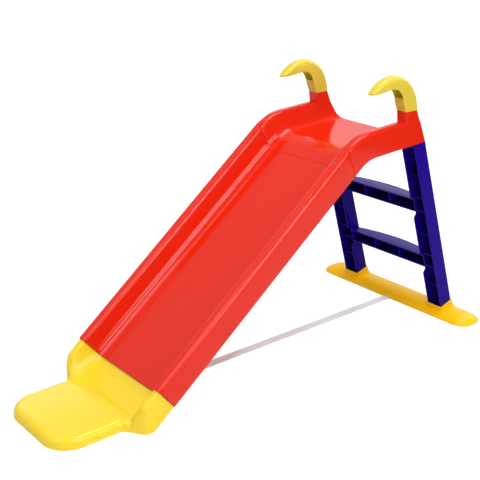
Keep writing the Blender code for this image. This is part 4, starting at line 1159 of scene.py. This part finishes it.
def dome_rings(inset):
    rise = BAR_HEIGHT - BAR_RIM - inset
    levels = [(0.0, 0.0 if inset == 0.0 else -0.002), (0.0, BAR_RIM)]
    for angle in spread(0, 81, DOME_STEPS)[1:]:
        turn = radians(angle)
        level = sin(turn)
        inward = (1 - cos(turn)) + SIDE_LEAN * level * cos(turn) ** 2
        levels.append(((BAR_HALF_WIDTH - inset) * inward, BAR_RIM + rise * level))
    rings = []
    for inward, z in levels:
        half_width = BAR_HALF_WIDTH - inset - inward
        half_length = BAR_HALF_LENGTH - inset - inward
        radius = min(max(BAR_CORNER - inset - inward, 0.004), half_width * 0.95)
        outline = rounded_rectangle(BAR_X - half_width, BAR_X + half_width,
                                    -half_length, half_length, radius, 16)
        rings.append([(x, y, z) for x, y in outline])
    return rings


def collar_level(share):
    """Level of a collar ring as a function of depth, from the dome at 0 to the collar's top at 1."""
    def level(depth):
        low = COLLAR_LOW + COLLAR_LOW_TILT * depth
        return low + (COLLAR_Z + depth * sin(LEG_LEAN) - low) * share
    return level


base_bar = solid_from("base_bar_shell", loft(dome_rings(0.0)), amber)
carve(base_bar, loft(dome_rings(WALL)))
for side in (1, -1):
    rings = [leg_ring(0.0, SOCKET_WALL, side, SOCKET_CORNER)]
    for share in spread(0.0, 0.92, COLLAR_STEPS):
        flare = SOCKET_FLARE * (1 - smooth(min(1.0, share / 0.55))) ** 1.5
        rings.append(leg_ring(collar_level(share), SOCKET_WALL + flare, side, SOCKET_CORNER + flare))
    for share, back in COLLAR_EDGE:
        rings.append(leg_ring(collar_level(share), SOCKET_WALL - back, side, SOCKET_CORNER - back))
    carve(base_bar, loft(rings), "UNION")
for side in (1, -1):
    carve(base_bar, loft([leg_ring(LEG_BOTTOM_Z - GAP, GAP, side), leg_ring(SOCKET_CUT_TOP, GAP, side)]))
weld_boss(base_bar, STRAP_SCREW_REAR, BAR_BOSS)
slot_front = BAR_X - SLOT_REACH
slot_half = STRAP_HALF + SLOT_SIDE_GAP
slot_plan = ((slot_front, -slot_half), (BAR_X, -slot_half), (BAR_X, slot_half), (slot_front, slot_half))
slot_levels = (-SLOT_BELOW, STRAP_THICK + SLOT_TOP_GAP)
carve(base_bar, loft([[(x, y, z) for x, y in slot_plan] for z in slot_levels]))
hand_over(base_bar, "yellow_plastic", "base_bar")

# %% [markdown]
# The ladder's plates and pockets are already right in the frame, but its edges are knife sharp, and no
# moulded edge is. A merged copy gets a fine bevel, which gives each edge its thin line of light.

# %% Ladder
def softened_copy(node, name, material, width):
    item = placed(name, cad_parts[node].data.copy())
    only_material(item, material)
    work = bmesh.new()
    work.from_mesh(item.data)
    bmesh.ops.remove_doubles(work, verts=work.verts, dist=0.00002)
    bmesh.ops.dissolve_limit(work, angle_limit=radians(0.4), verts=work.verts, edges=work.edges)
    work.to_mesh(item.data)
    work.free()
    round_edges(item, width, 2, 35)
    return bake(item, 25)


ladder = softened_copy("ladder", "ladder_moulding", indigo, 0.0006)
hand_over(ladder, "indigo_plastic", "ladder")

# %% [markdown]
# The strap is a flat strip with round ends. It is cut from a roll, so its edges are square, and only the
# corner is broken by a fraction of a millimetre.

# %% Tie strap
strap = softened_copy("tie_strap", "tie_strap_strip", strap_grey, 0.0003)
hand_over(strap, "strap_plastic", "tie_strap")

# %% [markdown]
# There are two kinds of screw, with a pan head and with a sunk head. Each kind's head and shank are
# made once, and a node tree puts them on points. Each point carries the screw's direction and its
# shank's length. Each kind is then turned into one plain mesh.

# %% Screws by a node tree
def lathe(name, profile, sides=40):
    return solid_from(name, loft([circle(radius, height, sides) for radius, height in profile]), zinc)


def unit_shank(straight):
    """A shank one unit long, straight over a share of it and then pointed."""
    profile = [(SCREW_RADIUS * TIP_SHARE, -1.0), (SCREW_RADIUS, -straight), (SCREW_RADIUS, 0.0)]
    return lathe("shank", profile, 24)


def scatter_tree():
    kinds = (("Head", "Object"), ("Shank", "Object"), ("Material", "Material"))
    tree, enter = new_tree("place_screws", kinds)
    axis = add(tree, "GeometryNodeInputNamedAttribute", {"data_type": "FLOAT_VECTOR"}, {"Name": "axis"})
    length = add(tree, "GeometryNodeInputNamedAttribute", {"data_type": "FLOAT"}, {"Name": "shank"})
    turned = add(tree, "FunctionNodeAlignRotationToVector", {"axis": "Z"}, links={"Vector": (axis, 0)})
    sized = add(tree, "ShaderNodeCombineXYZ", values={"X": 1.0, "Y": 1.0}, links={"Z": (length, 0)})
    points = add(tree, "GeometryNodeMeshToPoints", links={0: (enter, "Geometry")})
    join = add(tree, "GeometryNodeJoinGeometry")
    for part, scale in (("Head", {}), ("Shank", {"Scale": (sized, 0)})):
        info = add(tree, "GeometryNodeObjectInfo", links={"Object": (enter, part)})
        put = add(tree, "GeometryNodeInstanceOnPoints",
                  links={"Points": (points, 0), "Instance": (info, "Geometry"),
                         "Rotation": (turned, 0), **scale})
        wire(tree, join, {0: (put, 0)})
    return finish_tree(tree, enter, join)


def place_screws(name, tree, head, shank, places):
    """One mesh of screws; each place is (point under the head, direction to the head, shank length)."""
    seats, axes, lengths = zip(*places)
    item = marked_object(name, seats, [], [("axis", "FLOAT_VECTOR", "vector", axes),
                                           ("shank", "FLOAT", "value", lengths)])
    run_tree(item, tree, {"Head": head, "Shank": shank, "Material": zinc})
    bake(item)
    only_material(item, zinc)
    for tool in (head, shank):
        bpy.data.objects.remove(tool)
    return item


SCREW_RADIUS = 0.0020
TIP_SHARE = 0.4
HEAD_HIGH = 0.0022
SEAM_SHANK = 0.014
LAP_SHANK = 0.0058
POST_SHANK = 0.018
FOOT_SHANK = 0.024
STRAP_SHANK = 0.0146
POST_SCREW_Z = 0.622
GRIP_SCREW_Z = 0.668
# Rings of the pan head as shares of its radius and height
DOME = ((0.99, 0.4), (0.92, 0.66), (0.76, 0.85), (0.55, 0.95))
RECESS_REACH = 0.0024
RECESS_HALF = 0.0003
rounded = [(HEAD_RADIUS * wide, HEAD_HIGH * high) for wide, high in DOME]
pan = lathe("pan_head", [(SCREW_RADIUS, -0.0001), (HEAD_RADIUS - 0.0002, 0.0), (HEAD_RADIUS, 0.0003),
                         *rounded, (HEAD_RADIUS * 0.3, HEAD_HIGH)])
for turn in (0.0, pi / 2):
    dx = RECESS_REACH * cos(turn) + RECESS_HALF * sin(turn)
    dy = RECESS_REACH * sin(turn) + RECESS_HALF * cos(turn)
    arm = [[(dx * sx * f, dy * sy * f, z) for sx, sy in ((-1, -1), (1, -1), (1, 1), (-1, 1))]
           for z, f in ((HEAD_HIGH - 0.0013, 0.55), (HEAD_HIGH + 0.001, 1.1))]
    carve(pan, loft(arm))
shank = unit_shank(0.88)
tree = scatter_tree()
places = []
for side in (1, -1):
    seat, up = screw_place(SEAM_SCREW_S, side * RAIL_MIDDLE, crest_at(SEAM_SCREW_S) - SEAM_RECESS + GAP)
    places.append((seat, up, SEAM_SHANK))
    under = crest_at(LAP_SCREW_S) - 2 * WALL - LAP_GAP - 0.0004
    seat, up = screw_place(LAP_SCREW_S, side * RAIL_MIDDLE, under)
    places.append((seat, -up, LAP_SHANK))
    for z in (POST_SCREW_Z, GRIP_SCREW_Z):
        rear = REAR_X - (z - REAR_Z) * tan(POST_LEAN) + HEAD_RADIUS * tan(POST_LEAN) + GAP
        places.append((Vector((rear, side * POST_MIDDLE_Y, z)), Vector((1, 0, 0)), POST_SHANK))
    inner_y, outer_y = leg_sides(COLLAR_Z)
    spot = leg_point(LEG_BOTTOM_Z, LEG_DEPTH / 2, (inner_y + outer_y) / 2, side)
    places.append((Vector((spot.x, spot.y, BOSS_FOOT)), Vector((0, 0, -1)), FOOT_SHANK))
pan_screws = place_screws("pan_head_screws", tree, pan, shank, places)
kinds = ("seam_screw_", "landing_screw_", "post_screw_", "grip_screw_", "foot_screw_")
pan_nodes = [kind + word for kind in kinds for word in ("left", "right")]
hand_over(pan_screws, "zinc_steel", *pan_nodes)
sunk = lathe("sunk_head", [(HEAD_RADIUS * 0.6, 0.0001), (HEAD_RADIUS, 0.0), (HEAD_RADIUS, -0.0002),
                           (SCREW_RADIUS, -STRAP_THICK + 0.0006)])
shank = unit_shank(0.86)
places = []
for x in (STRAP_SCREW_FRONT, STRAP_SCREW_REAR):
    places.append((Vector((x, 0.0, 0.0004)), Vector((0, 0, -1)), STRAP_SHANK))
sunk_screws = place_screws("countersunk_screws", tree, sunk, shank, places)
hand_over(sunk_screws, "zinc_steel", "strap_screw_front", "strap_screw_rear")

# %% [markdown]
# The set is a white sweep, as product pictures have. To the camera the floor mixes light of its own into
# its lit surface, and more of it farther out, so that it stays white while the object's shadow still
# shows. Glossy surfaces see how far the sweep reaches: it ends to the right, and the plastic past that
# edge looks deeper in colour.

# %% Floor and backdrop
def by_ray(tree, ray, plain, other):
    """The plain shader, but the other one for this kind of ray."""
    paths = add(tree, "ShaderNodeLightPath")
    return add(tree, "ShaderNodeMixShader", links={0: (paths, ray), 1: (plain, 0), 2: (other, 0)})


SWEEP_HALF = 12
SWEEP_END_X = 2.0
SWEEP_SOFT = 0.12
OWN_LIGHT_SHARE = 0.68
plan = [(x * SWEEP_HALF, y * SWEEP_HALF, 0) for x, y in ((-1, -1), (1, -1), (1, 1), (-1, 1))]
floor = placed("white_sweep", bpy.data.meshes.new("white_sweep"))
floor.data.from_pydata(plan, [], [(0, 1, 2, 3)])
floor.location.z = -0.0002
paper, tree, lit, here = new_material("white_paper_sweep")
tune(lit, {"Base Color": linear("F4F4F4"), "Roughness": 0.9, "Specular IOR Level": 0.1})
afar = add(tree, "ShaderNodeVectorMath", {"operation": "LENGTH"}, links={0: here})
glow = add(tree, "ShaderNodeMapRange", links={"Value": (afar, "Value")},
           values={"From Min": 1.2, "From Max": 3.0, "To Min": 1.3, "To Max": 1.75})
own = add(tree, "ShaderNodeEmission", links={"Strength": (glow, "Result")})
across = add(tree, "ShaderNodeSeparateXYZ", links={0: here})
reach = add(tree, "ShaderNodeMapRange", links={"Value": (across, "X")},
            values={"From Min": SWEEP_END_X, "From Max": SWEEP_END_X + SWEEP_SOFT,
                    "To Min": 0.66, "To Max": 0.05})
mirrored = add(tree, "ShaderNodeEmission", links={"Strength": (reach, "Result")})
half = add(tree, "ShaderNodeMixShader", values={0: OWN_LIGHT_SHARE}, links={1: (lit, 0), 2: (own, 0)})
final = by_ray(tree, "Is Glossy Ray", by_ray(tree, "Is Camera Ray", lit, half), mirrored)
wire(tree, tree.nodes["Material Output"], {"Surface": (final, 0)})
floor.data.materials.append(paper)
print("white sweep laid")

# %% [markdown]
# The room lights the slide with one even grey and is white only to the camera. In reflections it is
# brighter behind the slide than in front. Eight soft boxes stand all round: those above, in front and at
# the sides are strong and those behind are faint, and three of them don't show in reflections. Three
# narrow strips draw the thin lines of light along the rails and down the chute's fillet.

# %% Room and lamps
WHITE = (1.0, 1.0, 1.0, 1.0)
ROOM_LIGHT = 0.26
MIRROR_DARK = 0.10
MIRROR_BRIGHT = 0.54
LAMP_AIM = Vector((0.0, 0.0, 0.35))
world = bpy.data.worlds.new("studio_room")
bpy.context.scene.world = world
world.use_nodes = True
room = world.node_tree
plain = room.nodes["Background"]
tune(plain, {"Color": WHITE, "Strength": ROOM_LIGHT})
white = add(room, "ShaderNodeBackground", values={"Color": WHITE, "Strength": 1.0})
heading = add(room, "ShaderNodeTexCoord")
split = add(room, "ShaderNodeSeparateXYZ", links={0: (heading, "Generated")})
behind = add(room, "ShaderNodeMapRange", links={"Value": (split, "Y")},
             values={"From Min": -0.15, "From Max": 0.25, "To Min": MIRROR_DARK, "To Max": MIRROR_BRIGHT})
dim = add(room, "ShaderNodeBackground", values={"Color": WHITE}, links={"Strength": (behind, "Result")})
final = by_ray(room, "Is Camera Ray", by_ray(room, "Is Glossy Ray", plain, dim), white)
wire(room, room.nodes["World Output"], {"Surface": (final, 0)})


def soft_box(name, direction, distance, size, strength, along=None):
    """A lamp that faces the slide; strength is its brightness, along is where its long side points."""
    lamp = placed(name, bpy.data.lights.new(name, "AREA"))
    lamp.data.shape = "RECTANGLE"
    lamp.data.size = size[0]
    lamp.data.size_y = size[1]
    lamp.data.energy = strength * pi * size[0] * size[1]
    aim = Vector(direction).normalized()
    lamp.location = LAMP_AIM + aim * distance
    lamp.rotation_euler = aim.to_track_quat("Z", "Y").to_euler()
    if along is not None:
        side = (along - along.dot(aim) * aim).normalized()
        lamp.rotation_euler = Matrix((side, aim.cross(side), aim)).transposed().to_euler()
    return lamp


BOX_DISTANCE = 3.2
BOX_SIZE = (1.8, 1.8)
SOFT_BOXES = (("top_box", (0.30, -0.05, 0.95), 4.2, True), ("front_high_box", (-0.3, -0.5, 0.8), 1.6, False),
              ("front_box", (0.0, -0.9, 0.45), 3.1, True), ("left_box", (-0.72, 0.0, 0.69), 2.4, True),
              ("right_box", (0.9, 0.0, 0.45), 2.4, True), ("back_box", (0.0, 0.9, 0.45), 0.5, False),
              ("back_left_box", (-0.6, 0.7, 0.45), 0.45, False),
              ("back_right_box", (0.77, 0.64, 0.36), 0.40, True))
for name, direction, strength, mirrored_too in SOFT_BOXES:
    lamp = soft_box(name, direction, BOX_DISTANCE, BOX_SIZE, strength)
    lamp.visible_glossy = mirrored_too
soft_box("rail_strip", (0.02, 0.92, 0.38), 2.6, (1.8, 0.10), 5.0)
soft_box("wall_strip", (-0.35, 0.40, 0.85), 2.6, (1.4, 0.05), 9.0)
soft_box("front_strip", (-0.25, -0.6, 0.72), 3.2, (2.6, 0.20), 16.0, -DOWN_SLOPE)

# %% [markdown]
# The view transform stays plain, so a colour renders about as written.

# %% Finish
bpy.context.scene.view_settings.view_transform = "Standard"
